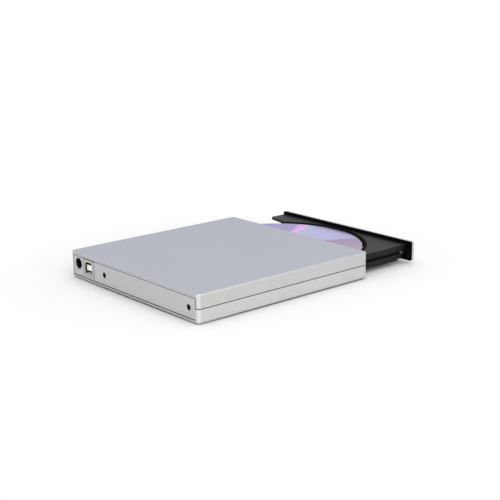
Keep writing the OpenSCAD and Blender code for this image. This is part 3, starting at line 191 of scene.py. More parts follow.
# The two covers of the case: moulded shells in a silver paint with fine metal flake, with a painted blue
# reflection at a low angle.
# They meet at a shadow line half way up the side and are held by snap tongues inside.
# Painted highlights make the paint paler at the upright corners and along the roof's side edges, more towards
# the back, and painted shade darkens the foot of the case.
WHITE = (1.0, 1.0, 1.0)
COVER_SILVER = (0.500, 0.500, 0.500)
# The lower cover's paint is set paler than the upper's, as painted light from the floor.
LOWER_SILVER_LIT = (0.536, 0.536, 0.533)
# Painted reflection: a blue tint on the paint's reflections at a low angle, standing in for the light above.
PAINTED_REFLECTION_TINT = (0.23, 0.32, 0.74, 1.0)
COVER_ROUGH = 0.44
FLAKES_PER_M = 5200.0
FLAKE_DARK = 0.90
FLAKE_PALE = 1.12
FLAKE_ROUGH = 0.06
CLOUDS_PER_M = 38.0
CLOUD_SHADE = (0.972, 0.972, 0.976)
PEEL_PER_M = 900.0
PEEL_DEPTH = 0.000012
# Sizes and strengths of the painted edge highlight, and of the painted shade at the foot.
CORNER_ROUND = 0.0024
CORNER_HIGHLIGHT = 2.0
RIM_ROUND = 0.0008
RIM_HIGHLIGHT = 1.2
FRONT_HIGHLIGHT = 0.2
HIGHLIGHT_PALE = 1.28
FOOT_SHADE = 0.55
FOOT_SHADE_TALL = 0.0010
case_low, case_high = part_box("bottom_cover")
case_middle = (case_low + case_high) / 2
case_half = (case_high - case_low) / 2


def start_finish(name):
    material = bpy.data.materials.new(name)
    material.use_nodes = True
    tree = material.node_tree
    tree.nodes.clear()
    skin = wired(tree, "ShaderNodeBsdfPrincipled")
    wired(tree, "ShaderNodeOutputMaterial", {"Surface": skin.outputs[0]})
    return material, tree, skin, own_place(tree)


def settle(skin, **values):
    for label, value in values.items():
        skin.inputs[label.replace("_", " ")].default_value = value


def placed(tree, place, shift=(0, 0, 0), scale=(1, 1, 1)):
    return wired(tree, "ShaderNodeMapping", {
        "Vector": place, "Location": shift, "Scale": scale}).outputs["Vector"]


def split(tree, place):
    return wired(tree, "ShaderNodeSeparateXYZ", {0: place}).outputs


def grain(tree, place, per_metre, detail=2.0, rough=0.5):
    return wired(tree, "ShaderNodeTexNoise", {
        "Vector": place, "Scale": per_metre, "Detail": detail, "Roughness": rough}).outputs["Fac"]


def ramp(tree, value, stops):
    node = wired(tree, "ShaderNodeValToRGB", {"Fac": value})
    marks = node.color_ramp.elements
    marks.remove(marks[-1])
    marks[0].position = stops[0][0]
    marks[0].color = (*stops[0][1], 1.0)
    for where, colour in stops[1:]:
        marks.new(where).color = (*colour, 1.0)
    return node.outputs["Color"]


def spread(tree, value, low, high, start=0.3, end=0.7):
    return wired(tree, "ShaderNodeMapRange", {
        "Value": value, "From Min": start, "From Max": end, "To Min": low, "To Max": high}).outputs["Result"]


def laid_over(tree, first, second, how="MULTIPLY", share=1.0):
    node = wired(tree, "ShaderNodeMix", data_type="RGBA", blend_type=how)
    sockets = {socket.identifier: socket for socket in node.inputs}
    for value, label in ((first, "A_Color"), (second, "B_Color"), (share, "Factor_Float")):
        if isinstance(value, bpy.types.NodeSocket):
            tree.links.new(value, sockets[label])
        else:
            sockets[label].default_value = (*value, 1.0) if isinstance(value, tuple) else value
    return next(socket for socket in node.outputs if socket.identifier == "Result_Color")


def raised(tree, skin, height, depth, strength=0.5):
    bump = wired(tree, "ShaderNodeBump", {"Height": height, "Distance": depth, "Strength": strength})
    tree.links.new(bump.outputs["Normal"], skin.inputs["Normal"])


def shade(colour, share):
    return tuple(min(1.0, part * share) for part in colour)


# Painted highlight: a mask for paler paint on the rounded upright corners and the roof's side edges, stronger
# towards the back.
def edge_highlight(tree, place):
    middle = placed(tree, place, shift=(0.0, -case_middle.y, 0.0))
    reach = split(tree, wired(tree, "ShaderNodeVectorMath", {0: middle}, operation="ABSOLUTE").outputs[0])
    corner = [spread(tree, reach[axis], 0.0, 1.0, half - CORNER_ROUND, half)
              for axis, half in (("X", case_half.x), ("Y", case_half.y))]
    side = spread(tree, reach["X"], 0.0, 1.0, case_half.x - RIM_ROUND, case_half.x)
    rim = spread(tree, reach["Z"], 0.0, RIM_HIGHLIGHT, cad_box[1].z - RIM_ROUND, cad_box[1].z)
    towards_rear = spread(tree, split(tree, middle)["Y"], FRONT_HIGHLIGHT, 1.0, 0.0, case_half.y)
    upright = figure(tree, "MULTIPLY", corner[0], corner[1])
    level = figure(tree, "MULTIPLY", figure(tree, "MULTIPLY", side, rim), towards_rear)
    return wired(tree, "ShaderNodeMath", {0: upright, 1: CORNER_HIGHLIGHT, 2: level}, operation="MULTIPLY_ADD",
                 use_clamp=True).outputs[0]


# Painted shade: the paint gets darker towards the underside, over the lowest millimetre of the case.
def painted_foot_shade(tree, place):
    return spread(tree, split(tree, place)["Z"], FOOT_SHADE, 1.0, case_low.z, case_low.z + FOOT_SHADE_TALL)


def flake_paint(name, colour, rough):
    material, tree, skin, place = start_finish(name)
    flake = grain(tree, place, FLAKES_PER_M, detail=1.0, rough=0.7)
    cloud = grain(tree, place, CLOUDS_PER_M, detail=3.0, rough=0.55)
    base = ramp(tree, flake, [
        (0.30, shade(colour, FLAKE_DARK)), (0.52, colour), (0.74, shade(colour, FLAKE_PALE))])
    drift = ramp(tree, cloud, [(0.3, CLOUD_SHADE), (0.7, WHITE)])
    # The edge highlight and the foot's shade below are painted into the colour.
    highlighted = laid_over(tree, base, shade(colour, HIGHLIGHT_PALE), "MIX", edge_highlight(tree, place))
    foot_shaded = laid_over(tree, laid_over(tree, highlighted, drift), painted_foot_shade(tree, place))
    tree.links.new(foot_shaded, skin.inputs["Base Color"])
    tree.links.new(spread(tree, flake, rough + FLAKE_ROUGH, rough - FLAKE_ROUGH), skin.inputs["Roughness"])
    settle(skin, Metallic=0.45, Specular_IOR_Level=0.32, Specular_Tint=PAINTED_REFLECTION_TINT)
    raised(tree, skin, grain(tree, place, PEEL_PER_M), PEEL_DEPTH, strength=0.35)
    return material


def dress(material, *nodes):
    for node in nodes:
        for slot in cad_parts[node].material_slots:
            slot.material = material


dress(flake_paint("cover_silver", COVER_SILVER, COVER_ROUGH), "top_cover")
dress(flake_paint("lower_cover_silver_lit", LOWER_SILVER_LIT, COVER_ROUGH), "bottom_cover")

# The rear panel: a flush moulded plate in the same silver paint as the covers, set a little paler as painted
# light on this face.
# Its tabs hook behind the upper cover, and two screws in sleeves hold it.
PANEL_SILVER_LIT = (0.540, 0.543, 0.540)
PANEL_ROUGH = 0.46
panel_paint = flake_paint("panel_silver", PANEL_SILVER_LIT, PANEL_ROUGH)
dress(panel_paint, "rear_panel")

# The feet: four soft rubber buttons with rounded edges, glued in shallow seats under the case.
# The rubber is dull and a little dusty.
# Places here and below are in millimetres from the middle of the case's front edge, at its underside.
MM = 0.001
RUBBER_BLACK = (0.022, 0.022, 0.024)
TOOTH_PER_M = 2600.0
TOOTH_DEPTH = 0.00003
SPECKS_PER_M = 160.0
SPECK_PALE = 1.9
FOOT_XS = (-53.5, 53.5)
FOOT_YS = (14.0, 124.5)
FOOT_LEVEL = -0.22
FOOT_RADIUS = 4.45
FOOT_TALL = 1.15
FOOT_SOFTNESS = 0.3
PUCK_SEGMENTS = 40
PUCK_RINGS = 20


def spot(x, y, z):
    return Vector((x * MM, case_low.y + y * MM, case_low.z + z * MM))


def soft_rubber(name, colour):
    material, tree, skin, place = start_finish(name)
    tooth = grain(tree, place, TOOTH_PER_M, detail=3.0, rough=0.6)
    speck = grain(tree, place, SPECKS_PER_M, detail=4.0, rough=0.6)
    tree.links.new(ramp(tree, speck, [(0.42, colour), (0.72, shade(colour, SPECK_PALE))]),
                   skin.inputs["Base Color"])
    tree.links.new(spread(tree, tooth, low=0.72, high=0.92), skin.inputs["Roughness"])
    settle(skin, Specular_IOR_Level=0.25)
    raised(tree, skin, tooth, TOOTH_DEPTH, strength=0.6)
    return material


def maker(name, **sizes):
    tree = bpy.data.node_groups.new(name, "GeometryNodeTree")
    tree.interface.new_socket("Places", in_out="INPUT", socket_type="NodeSocketGeometry")
    tree.interface.new_socket("Made", in_out="OUTPUT", socket_type="NodeSocketGeometry")
    for label, value in sizes.items():
        kind = {int: "NodeSocketInt", float: "NodeSocketFloat", tuple: "NodeSocketVector"}[type(value)]
        socket = tree.interface.new_socket(label.replace("_", " "), in_out="INPUT", socket_type=kind)
        socket.default_value = value
    tree.interface.new_socket("Finish", in_out="INPUT", socket_type="NodeSocketMaterial")
    return tree, tree.nodes.new("NodeGroupInput").outputs


def vector(tree, x=0.0, y=0.0, z=0.0):
    return wired(tree, "ShaderNodeCombineXYZ", {"X": x, "Y": y, "Z": z}).outputs[0]


def halved(tree, value):
    return figure(tree, "MULTIPLY", value, 0.5)


def closed(tree, feed, shape, turn=None, smooth=False):
    rounded = wired(tree, "GeometryNodeSetShadeSmooth", {"Geometry": shape, "Shade Smooth": smooth})
    feeds = {"Points": feed["Places"], "Instance": rounded.outputs[0]}
    if turn is not None:
        feeds["Rotation"] = wired(tree, "FunctionNodeEulerToRotation", {"Euler": turn}).outputs[0]
    copies = wired(tree, "GeometryNodeInstanceOnPoints", feeds)
    solid = wired(tree, "GeometryNodeRealizeInstances", {"Geometry": copies.outputs[0]})
    painted = wired(tree, "GeometryNodeSetMaterial", {
        "Geometry": solid.outputs[0], "Material": feed["Finish"]})
    tree.links.new(painted.outputs[0], tree.nodes.new("NodeGroupOutput").inputs[0])


def made(tree, name, places, finish, turns=None, **sizes):
    mesh = bpy.data.meshes.new(name)
    mesh.from_pydata([tuple(spot(*place)) for place in places], [], [])
    if turns is not None:
        mesh.attributes.new("turn", "FLOAT", "POINT").data.foreach_set("value", turns)
    piece = bpy.data.objects.new(name, mesh)
    bpy.context.scene.collection.objects.link(piece)
    modifier = piece.modifiers.new("made", "NODES")
    modifier.node_group = tree
    wanted = {label.replace("_", " "): value for label, value in sizes.items()}
    wanted["Finish"] = finish
    for socket in tree.interface.items_tree:
        if socket.in_out == "INPUT" and socket.name in wanted:
            modifier[socket.identifier] = wanted[socket.name]
    ready = piece.evaluated_get(bpy.context.evaluated_depsgraph_get())
    solid = bpy.data.meshes.new_from_object(ready)
    piece.modifiers.remove(modifier)
    piece.data = solid
    return piece


def puck(tree, radius, height, softness):
    ball = wired(tree, "GeometryNodeMeshUVSphere", {
        "Segments": PUCK_SEGMENTS, "Rings": PUCK_RINGS, "Radius": 1.0}).outputs[0]
    point = split(tree, wired(tree, "GeometryNodeInputPosition").outputs[0])
    flat = distance(tree, vector(tree, point["X"], point["Y"]))
    out = figure(tree, "DIVIDE", figure(tree, "POWER", flat, softness), flat)
    wide = figure(tree, "MULTIPLY", out, radius)
    tall = figure(tree, "POWER", figure(tree, "ABSOLUTE", point["Z"]), softness)
    signed = figure(tree, "MULTIPLY", tall, figure(tree, "SIGN", point["Z"]))
    x, y = (figure(tree, "MULTIPLY", point[axis], wide) for axis in "XY")
    target = vector(tree, x, y, figure(tree, "MULTIPLY", signed, halved(tree, height)))
    return wired(tree, "GeometryNodeSetPosition", {"Geometry": ball, "Position": target}).outputs[0]


rubber = soft_rubber("foot_rubber", RUBBER_BLACK)
button_tree, button_feed = maker(
    "rubber_buttons", Radius=FOOT_RADIUS * MM, Height=FOOT_TALL * MM, Softness=FOOT_SOFTNESS)
closed(button_tree, button_feed,
       puck(button_tree, button_feed["Radius"], button_feed["Height"], button_feed["Softness"]), smooth=True)
foot_places = [(x, y, FOOT_LEVEL) for x in FOOT_XS for y in FOOT_YS]
feet = made(button_tree, "foot_buttons", foot_places, rubber)
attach(feet, "case")
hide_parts("rubber_feet")

# The rear panel's screws: two black pan heads with a cross recess, sunk in the sleeves of the panel.
# Painted shade darkens the panel's paint inside the sleeves.
# All screws on the part are cold headed and made by the same pattern.
BLACK_OXIDE = (0.012, 0.012, 0.013)
REAR_SCREWS = [(29.2, 136.1, 8.2), (-58.4, 136.1, 8.2)]
SLEEVE_RADIUS = 1.8
SLEEVE_EDGE = 0.05
SLEEVE_PAINTED_SHADE = 0.06
FACING_REAR = (-math.pi / 2, 0.0, 0.0)
SCRATCHES_PER_M = 5200.0
SCRATCH_ALONG = (1.0, 1.0, 6.0)
SCRATCH_DEPTH = 0.000006
FILM_PER_M = 700.0
FILM_DARK = 0.86
FILM_PALE = 1.08
HEAD_SOFTNESS = 0.4
SHANK_SIDES = 24
HALF_DOWN = -0.5
ARM_WIDE = 0.3
ARM_DEEP = 1.2


def turned_metal(name, colour, rough):
    material, tree, skin, place = start_finish(name)
    scratch = grain(tree, placed(tree, place, scale=SCRATCH_ALONG), SCRATCHES_PER_M, detail=3.0, rough=0.7)
    film = grain(tree, place, FILM_PER_M)
    tone = ramp(tree, film, [(0.3, shade(colour, FILM_DARK)), (0.7, shade(colour, FILM_PALE))])
    tree.links.new(tone, skin.inputs["Base Color"])
    tree.links.new(spread(tree, scratch, low=rough - 0.08, high=rough + 0.12), skin.inputs["Roughness"])
    settle(skin, Metallic=1.0)
    raised(tree, skin, scratch, SCRATCH_DEPTH)
    return material


def skin_of(material):
    return next(node for node in material.node_tree.nodes if node.type == "BSDF_PRINCIPLED")


def overpainted(material, mask):
    paint = skin_of(material).inputs["Base Color"]
    tree = material.node_tree
    tree.links.new(laid_over(tree, paint.links[0].from_socket, mask), paint)


# Painted shade: the panel's colour is darkened within each screw sleeve's radius.
panel_tree = panel_paint.node_tree
for sleeve in REAR_SCREWS:
    sleeve_middle = spot(*sleeve)
    sleeve_place = placed(panel_tree, own_place(panel_tree), scale=(1.0, 0.0, 1.0),
                          shift=(-sleeve_middle.x, 0.0, -sleeve_middle.z))
    sleeve_shade_mask = spread(panel_tree, distance(panel_tree, sleeve_place), SLEEVE_PAINTED_SHADE, 1.0,
                         SLEEVE_RADIUS * MM, (SLEEVE_RADIUS + SLEEVE_EDGE) * MM)
    overpainted(panel_paint, sleeve_shade_mask)


def shifted(tree, geometry, move=(0, 0, 0), turn=(0, 0, 0), scale=(1, 1, 1)):
    return wired(tree, "GeometryNodeTransform", {
        "Geometry": geometry, "Translation": move, "Rotation": turn, "Scale": scale}).outputs[0]


screw_tree, screw_feed = maker(
    "cross_recess_screws", Head_Radius=1.55 * MM, Head_Height=1.1 * MM, Shank_Radius=1.0 * MM,
    Shank_Length=4.5 * MM, Recess_Share=0.62, Facing=FACING_REAR)
head_wide = screw_feed["Head Radius"]
head_tall = screw_feed["Head Height"]
head_raise = halved(screw_tree, head_tall)
head = shifted(screw_tree, puck(screw_tree, head_wide, head_tall, HEAD_SOFTNESS),
               vector(screw_tree, z=head_raise))
shank_below = figure(screw_tree, "SUBTRACT", screw_feed["Shank Length"], head_raise)
shank = wired(screw_tree, "GeometryNodeMeshCylinder", {
    "Vertices": SHANK_SIDES, "Radius": screw_feed["Shank Radius"],
    "Depth": figure(screw_tree, "ADD", screw_feed["Shank Length"], head_raise)})
shank_low = shifted(screw_tree, shank.outputs[0],
                    vector(screw_tree, z=figure(screw_tree, "MULTIPLY", shank_below, HALF_DOWN)))
arm_half = figure(screw_tree, "MULTIPLY", head_wide, screw_feed["Recess Share"])
arm = figure(screw_tree, "ADD", arm_half, arm_half)
arm_wide = figure(screw_tree, "MULTIPLY", head_wide, ARM_WIDE)
arm_deep = figure(screw_tree, "MULTIPLY", head_tall, ARM_DEEP)
arms = [wired(screw_tree, "GeometryNodeMeshCube", {"Size": vector(screw_tree, *sides, arm_deep)}).outputs[0]
        for sides in ((arm, arm_wide), (arm_wide, arm))]
cross = wired(screw_tree, "GeometryNodeMeshBoolean", operation="UNION", solver="EXACT")
body = wired(screw_tree, "GeometryNodeMeshBoolean", operation="UNION", solver="EXACT")
for part, joined in ((arms[0], cross), (arms[1], cross), (head, body), (shank_low, body)):
    screw_tree.links.new(part, joined.inputs["Mesh 2"])
cut = wired(screw_tree, "GeometryNodeMeshBoolean", {"Mesh 1": body.outputs[0]}, operation="DIFFERENCE",
            solver="EXACT")
screw_tree.links.new(shifted(screw_tree, cross.outputs[0], vector(screw_tree, z=head_tall)),
                     cut.inputs["Mesh 2"])
closed(screw_tree, screw_feed, cut.outputs[0], screw_feed["Facing"])
blackened = turned_metal("black_screw", BLACK_OXIDE, rough=0.42)


def screws(name, body_name, node, slot, places, finish, **sizes):
    piece = made(screw_tree, name, places, finish, **sizes)
    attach(piece, body_name)
    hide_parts(node)


screws("panel_screws", "case", "rear_screws", "black_screw", REAR_SCREWS, blackened)

# The screws that hold the drive down: four zinc coated steel screws with low, wide heads.
# They are let into the underside of the case and run up into the drive's chassis.
ZINC = (0.56, 0.57, 0.58)
DRIVE_SCREW_XS = (-40.0, 40.0)
DRIVE_SCREW_YS = (20.4, 100.4)
DRIVE_SCREW_LEVEL = 0.75
FACING_DOWN = (math.pi, 0.0, 0.0)
zinc = turned_metal("zinc_screw", ZINC, rough=0.34)
drive_screws = [(x, y, DRIVE_SCREW_LEVEL) for x in DRIVE_SCREW_XS for y in DRIVE_SCREW_YS]
screws("underside_screws", "case", "drive_screws", "zinc_screw", drive_screws, zinc, Facing=FACING_DOWN,
       Head_Radius=1.9 * MM, Head_Height=0.6 * MM, Shank_Radius=1.0 * MM, Shank_Length=1.4 * MM)

# The bridge board: a green board behind the drive that carries the sockets, two screws and small parts.
# The drive's main board and the switch's board are made the same way.
# Copper tracks show as raised paler lines under the solder mask.
MASK_GREEN = (0.018, 0.105, 0.048)
BLACK = (0.0, 0.0, 0.0)
TRACKS_PER_M = 320.0
TRACK_PALE = 1.75
TRACK_DEPTH = 0.00003
PATCHES_PER_M = 130.0
MASK_GRAIN_PER_M = 1400.0
BRIDGE_TOP = 3.45
BOARD_SCREWS = [(-24.0, 133.6, BRIDGE_TOP), (62.6, 122.1, BRIDGE_TOP)]
FACING_UP = (0.0, 0.0, 0.0)


def solder_mask(name, colour):
    material, tree, skin, place = start_finish(name)
    rows = [wired(tree, "ShaderNodeTexWave", {"Vector": place, "Scale": TRACKS_PER_M}, wave_type="BANDS",
                  bands_direction=axis).outputs["Color"] for axis in ("X", "Y")]
    patch = wired(tree, "ShaderNodeTexVoronoi", {
        "Vector": place, "Scale": PATCHES_PER_M}, distance="CHEBYCHEV")
    side = ramp(tree, patch.outputs["Color"], [(0.48, BLACK), (0.52, WHITE)])
    track = ramp(tree, laid_over(tree, rows[0], rows[1], "MIX", side), [(0.52, BLACK), (0.60, WHITE)])
    tone = laid_over(tree, colour, shade(colour, TRACK_PALE), "MIX", track)
    tree.links.new(tone, skin.inputs["Base Color"])
    film = grain(tree, place, MASK_GRAIN_PER_M)
    tree.links.new(spread(tree, film, low=0.24, high=0.40), skin.inputs["Roughness"])
    raised(tree, skin, track, TRACK_DEPTH, strength=0.6)
    return material


dress(solder_mask("solder_mask", MASK_GREEN), "bridge_board", "main_board", "switch_board")
screws("bridge_board_screws", "case", "board_screws", "zinc_screw", BOARD_SCREWS, zinc, Facing=FACING_UP,
       Head_Radius=1.7 * MM, Head_Height=0.9 * MM, Shank_Radius=0.75 * MM, Shank_Length=2.45 * MM)

# The chips of both boards: moulded black epoxy bodies with rows of bent tinned legs on all four sides.
# Each leg is stamped from sheet and soldered to the board.
# A chip is listed by two corners, the level of its board and the number of legs on a side.
CHIP_BLACK = (0.020, 0.020, 0.021)
TIN = (0.66, 0.62, 0.53)
MAIN_TOP = 3.9
BRIDGE_CHIPS = [(18.0, 131.3, 22.6, 135.9, BRIDGE_TOP, 9)]
MAIN_CHIPS = [(-36.0, 106.0, -22.0, 120.0, MAIN_TOP, 24), (-14.0, 107.0, -4.0, 115.0, MAIN_TOP, 14),
              (6.0, 106.0, 13.0, 112.0, MAIN_TOP, 10), (18.0, 109.0, 26.0, 117.0, MAIN_TOP, 12)]
LEG_WIDE = 0.22
LEG_THICK = 0.12
LEG_REACH = 0.9
LEG_RISE = 0.55
LEG_SOLDER = 0.06
LEG_STEPS = 10
RIGHTWARD, REARWARD, LEFTWARD, FORWARD = (quarter * math.pi / 2 for quarter in range(4))
MOULD_DARK = 0.78
MOULD_PALE = 1.45
MOULD_ROUGH = 0.08
DRIFT_PER_M = 60.0
DRIFT_SHADE = (0.90, 0.90, 0.90)
ROLLED_ALONG = (1.0, 0.05, 1.0)
ROLLED_PER_M = 2400.0
ROLLED_DEPTH = 0.000006
SPANGLES_PER_M = 260.0
SPANGLE_DARK = 0.92
SPANGLE_PALE = 1.06


def moulded(name, colour, rough, grain_size, depth, shine):
    material, tree, skin, place = start_finish(name)
    fine = grain(tree, place, 1.0 / grain_size, detail=2.0, rough=0.6)
    tone = ramp(tree, fine, [
        (0.30, shade(colour, MOULD_DARK)), (0.55, colour), (0.80, shade(colour, MOULD_PALE))])
    drift = ramp(tree, grain(tree, place, DRIFT_PER_M, detail=3.0), [(0.3, DRIFT_SHADE), (0.7, WHITE)])
    tree.links.new(laid_over(tree, tone, drift), skin.inputs["Base Color"])
    tree.links.new(spread(tree, fine, rough + MOULD_ROUGH, rough - MOULD_ROUGH), skin.inputs["Roughness"])
    settle(skin, Specular_IOR_Level=shine)
    raised(tree, skin, fine, depth, strength=0.7)
    return material


def rolled_sheet(name, colour, rough):
    material, tree, skin, place = start_finish(name)
    line = grain(tree, placed(tree, place, scale=ROLLED_ALONG), ROLLED_PER_M, detail=3.0, rough=0.6)
    spangle = wired(tree, "ShaderNodeTexVoronoi", {"Vector": place, "Scale": SPANGLES_PER_M}).outputs["Color"]
    tone = ramp(tree, spangle, [(0.1, shade(colour, SPANGLE_DARK)), (0.9, shade(colour, SPANGLE_PALE))])
    brushed = ramp(tree, line, [(0.3, DRIFT_SHADE), (0.7, WHITE)])
    tree.links.new(laid_over(tree, tone, brushed), skin.inputs["Base Color"])
    tree.links.new(spread(tree, line, low=rough - 0.08, high=rough + 0.10), skin.inputs["Roughness"])
    settle(skin, Metallic=1.0)
    raised(tree, skin, line, ROLLED_DEPTH, strength=0.4)
    return material


def turned_by_place(tree):
    marked = wired(tree, "GeometryNodeInputNamedAttribute", {"Name": "turn"}, data_type="FLOAT")
    return vector(tree, z=marked.outputs["Attribute"])


leg_tree, leg_feed = maker(
    "bent_legs", Width=LEG_WIDE * MM, Thickness=LEG_THICK * MM, Reach=LEG_REACH * MM, Rise=LEG_RISE * MM)
leg_half = halved(leg_tree, leg_feed["Reach"])
leg_path = wired(leg_tree, "GeometryNodeCurvePrimitiveBezierSegment", {
    "Resolution": LEG_STEPS, "Start": vector(leg_tree, z=leg_feed["Rise"]),
    "Start Handle": vector(leg_tree, x=leg_half, z=leg_feed["Rise"]),
    "End Handle": vector(leg_tree, x=leg_half), "End": vector(leg_tree, x=leg_feed["Reach"])})
leg_strip = wired(leg_tree, "GeometryNodeCurvePrimitiveQuadrilateral", {
    "Width": leg_feed["Thickness"], "Height": leg_feed["Width"]})
leg_solid = wired(leg_tree, "GeometryNodeCurveToMesh", {
    "Curve": leg_path.outputs[0], "Profile Curve": leg_strip.outputs[0], "Fill Caps": True})
closed(leg_tree, leg_feed, leg_solid.outputs[0], turned_by_place(leg_tree))


def leg_places(chips):
    places, turns = [], []
    for x0, y0, x1, y1, top, count in chips:
        for k in range(count):
            share = (k + 1.0) / (count + 1.0)
            along_x, along_y = x0 + share * (x1 - x0), y0 + share * (y1 - y0)
            for x, y, turn in ((x1, along_y, RIGHTWARD), (along_x, y1, REARWARD),
                               (x0, along_y, LEFTWARD), (along_x, y0, FORWARD)):
                places.append((x, y, top + LEG_SOLDER))
                turns.append(turn)
    return places, turns


chip_epoxy = moulded("chip_epoxy", CHIP_BLACK, rough=0.55, grain_size=0.00012, depth=0.00001, shine=0.25)
tin = rolled_sheet("tin_plate", TIN, rough=0.30)
dress(chip_epoxy, "bridge_chips", "main_chips")
for name, chips in (("bridge_chip_legs", BRIDGE_CHIPS), ("main_chip_legs", MAIN_CHIPS)):
    chip_spots, chip_turns = leg_places(chips)
    legs = made(leg_tree, name, chip_spots, tin, chip_turns)
    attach(legs, "case")

# The small parts of both boards: chip resistors and capacitors, fired ceramic blocks with tinned ends.
# They are laid by machine, clear of the chips, and soldered at both ends.
CERAMIC_TAN = (0.17, 0.11, 0.065)
PART_LONG = 1.5
PART_WIDE = 0.8
PART_TALL = 0.5
PART_END = 0.32
PART_HARDNESS = 12.0
END_HARDNESS = 10.0
END_LAP = 0.7
END_SWELL = (1.0, 1.08, 1.08)
BLOCK_CUBE = (2.0, 2.0, 2.0)
BLOCK_STEPS = 7
BRIDGE_ROWS = [(x, y) for x in (28.2, 30.2, 32.2) for y in (132.3, 134.9)] + [(39.3, 132.2)]
LAYING_SEED = 7
MAIN_SMALL_COUNT = 36
MAIN_AREA = (-47.0, 104.5, 33.0, 123.0)
MAIN_CLEAR = [chip[:4] for chip in MAIN_CHIPS] + [(-46.0, 109.0, -41.0, 115.0)]
CLEAR_EDGE = 2.4


def soft_block(tree, size, hardness):
    cube = wired(tree, "GeometryNodeMeshCube", {
        "Size": BLOCK_CUBE, "Vertices X": BLOCK_STEPS, "Vertices Y": BLOCK_STEPS, "Vertices Z": BLOCK_STEPS})
    point = wired(tree, "GeometryNodeInputPosition").outputs[0]
    parts = split(tree, point)
    powers = [figure(tree, "POWER", figure(tree, "ABSOLUTE", parts[label]), hardness) for label in "XYZ"]
    total = figure(tree, "ADD", figure(tree, "ADD", powers[0], powers[1]), powers[2])
    inward = figure(tree, "POWER", total, -1.0 / hardness)
    unit = wired(tree, "ShaderNodeVectorMath", {0: point, "Scale": inward}, operation="SCALE").outputs[0]
    target = wired(tree, "ShaderNodeVectorMath", {0: unit, 1: size}, operation="MULTIPLY").outputs[0]
    return wired(tree, "GeometryNodeSetPosition", {
        "Geometry": cube.outputs[0], "Position": target}).outputs[0]


def half_size(tree, feed, *sides):
    return vector(tree, *[halved(tree, feed[side]) for side in sides])


part_tree, part_feed = maker(
    "small_part_bodies", Long=PART_LONG * MM, Wide=PART_WIDE * MM, Tall=PART_TALL * MM)
part_size = half_size(part_tree, part_feed, "Long", "Wide", "Tall")
closed(part_tree, part_feed, soft_block(part_tree, part_size, PART_HARDNESS), turned_by_place(part_tree))
end_tree, end_feed = maker(
    "small_part_ends", Long=PART_LONG * MM, Wide=PART_WIDE * MM, Tall=PART_TALL * MM, End=PART_END * MM)
end_cap = soft_block(end_tree, half_size(end_tree, end_feed, "End", "Wide", "Tall"), END_HARDNESS)
end_lap = figure(end_tree, "MULTIPLY", end_feed["End"], END_LAP)
end_out = halved(end_tree, figure(end_tree, "SUBTRACT", end_feed["Long"], end_lap))
end_pair = wired(end_tree, "GeometryNodeJoinGeometry")
for side in (1.0, -1.0):
    end_move = vector(end_tree, x=figure(end_tree, "MULTIPLY", end_out, side))
    end_tree.links.new(shifted(end_tree, end_cap, end_move, scale=END_SWELL), end_pair.inputs[0])
closed(end_tree, end_feed, end_pair.outputs[0], turned_by_place(end_tree))
bridge_small = [(x, y, BRIDGE_TOP + PART_TALL / 2) for x, y in BRIDGE_ROWS]
laying = random.Random(LAYING_SEED)
main_small = []
while len(main_small) < MAIN_SMALL_COUNT:
    x = laying.uniform(MAIN_AREA[0], MAIN_AREA[2])
    y = laying.uniform(MAIN_AREA[1], MAIN_AREA[3])
    free_of_chips = all(x < area[0] - CLEAR_EDGE or x > area[2] + CLEAR_EDGE or y < area[1] - CLEAR_EDGE
                        or y > area[3] + CLEAR_EDGE for area in MAIN_CLEAR)
    if free_of_chips and all(math.hypot(x - other[0], y - other[1]) > CLEAR_EDGE for other in main_small):
        main_small.append((round(x, 1), round(y, 1), MAIN_TOP + PART_TALL / 2))
ceramic = moulded("ceramic_parts", CERAMIC_TAN, rough=0.5, grain_size=0.0002, depth=0.000008, shine=0.3)
for name, small in (("bridge", bridge_small), ("main", main_small)):
    small_turns = [laying.choice((RIGHTWARD, REARWARD)) for place in small]
    bodies = made(part_tree, name + "_small_parts", small, ceramic, small_turns)
    caps = made(end_tree, name + "_small_part_ends", small, tin, small_turns)
    for piece, slot_name in ((bodies, "chip_black"), (caps, "tin_plate")):
        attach(piece, "case")

# The capacitor: a drawn aluminium can with a groove rolled in near its foot, closed at the top.
# It stands on a black moulded base, and its leads are soldered to the bridge board.
# A profile is listed by radius, height and the number of its finish.
CAN_METAL = (0.70, 0.71, 0.72)
CAN_PLACE = (35.9, 133.5)
CAN_PROFILE = [
    (0.0, 4.35, 0), (1.85, 4.35, 0), (2.0, 4.5, 0), (2.0, 5.15, 0), (1.78, 5.35, 0), (1.78, 5.5, 0),
    (2.0, 5.7, 0), (2.0, 8.5, 0), (1.85, 8.78, 0), (1.6, 8.82, 0), (0.0, 8.82, 0)]
CAN_STEPS = 96
SHARP_ANGLE = math.radians(32.0)
BASE_HALF = 2.13
BASE_TOP = 4.38
BASE_EDGE = 0.25
SOCKET_BLACK = (0.010, 0.010, 0.011)


def as_piece(name, solid, finishes):
    bmesh.ops.recalc_face_normals(solid, faces=solid.faces)
    mesh = bpy.data.meshes.new(name)
    solid.to_mesh(mesh)
    solid.free()
    mesh.set_sharp_from_angle(angle=SHARP_ANGLE)
    for finish in finishes:
        mesh.materials.append(finish)
    piece = bpy.data.objects.new(name, mesh)
    bpy.context.scene.collection.objects.link(piece)
    return piece


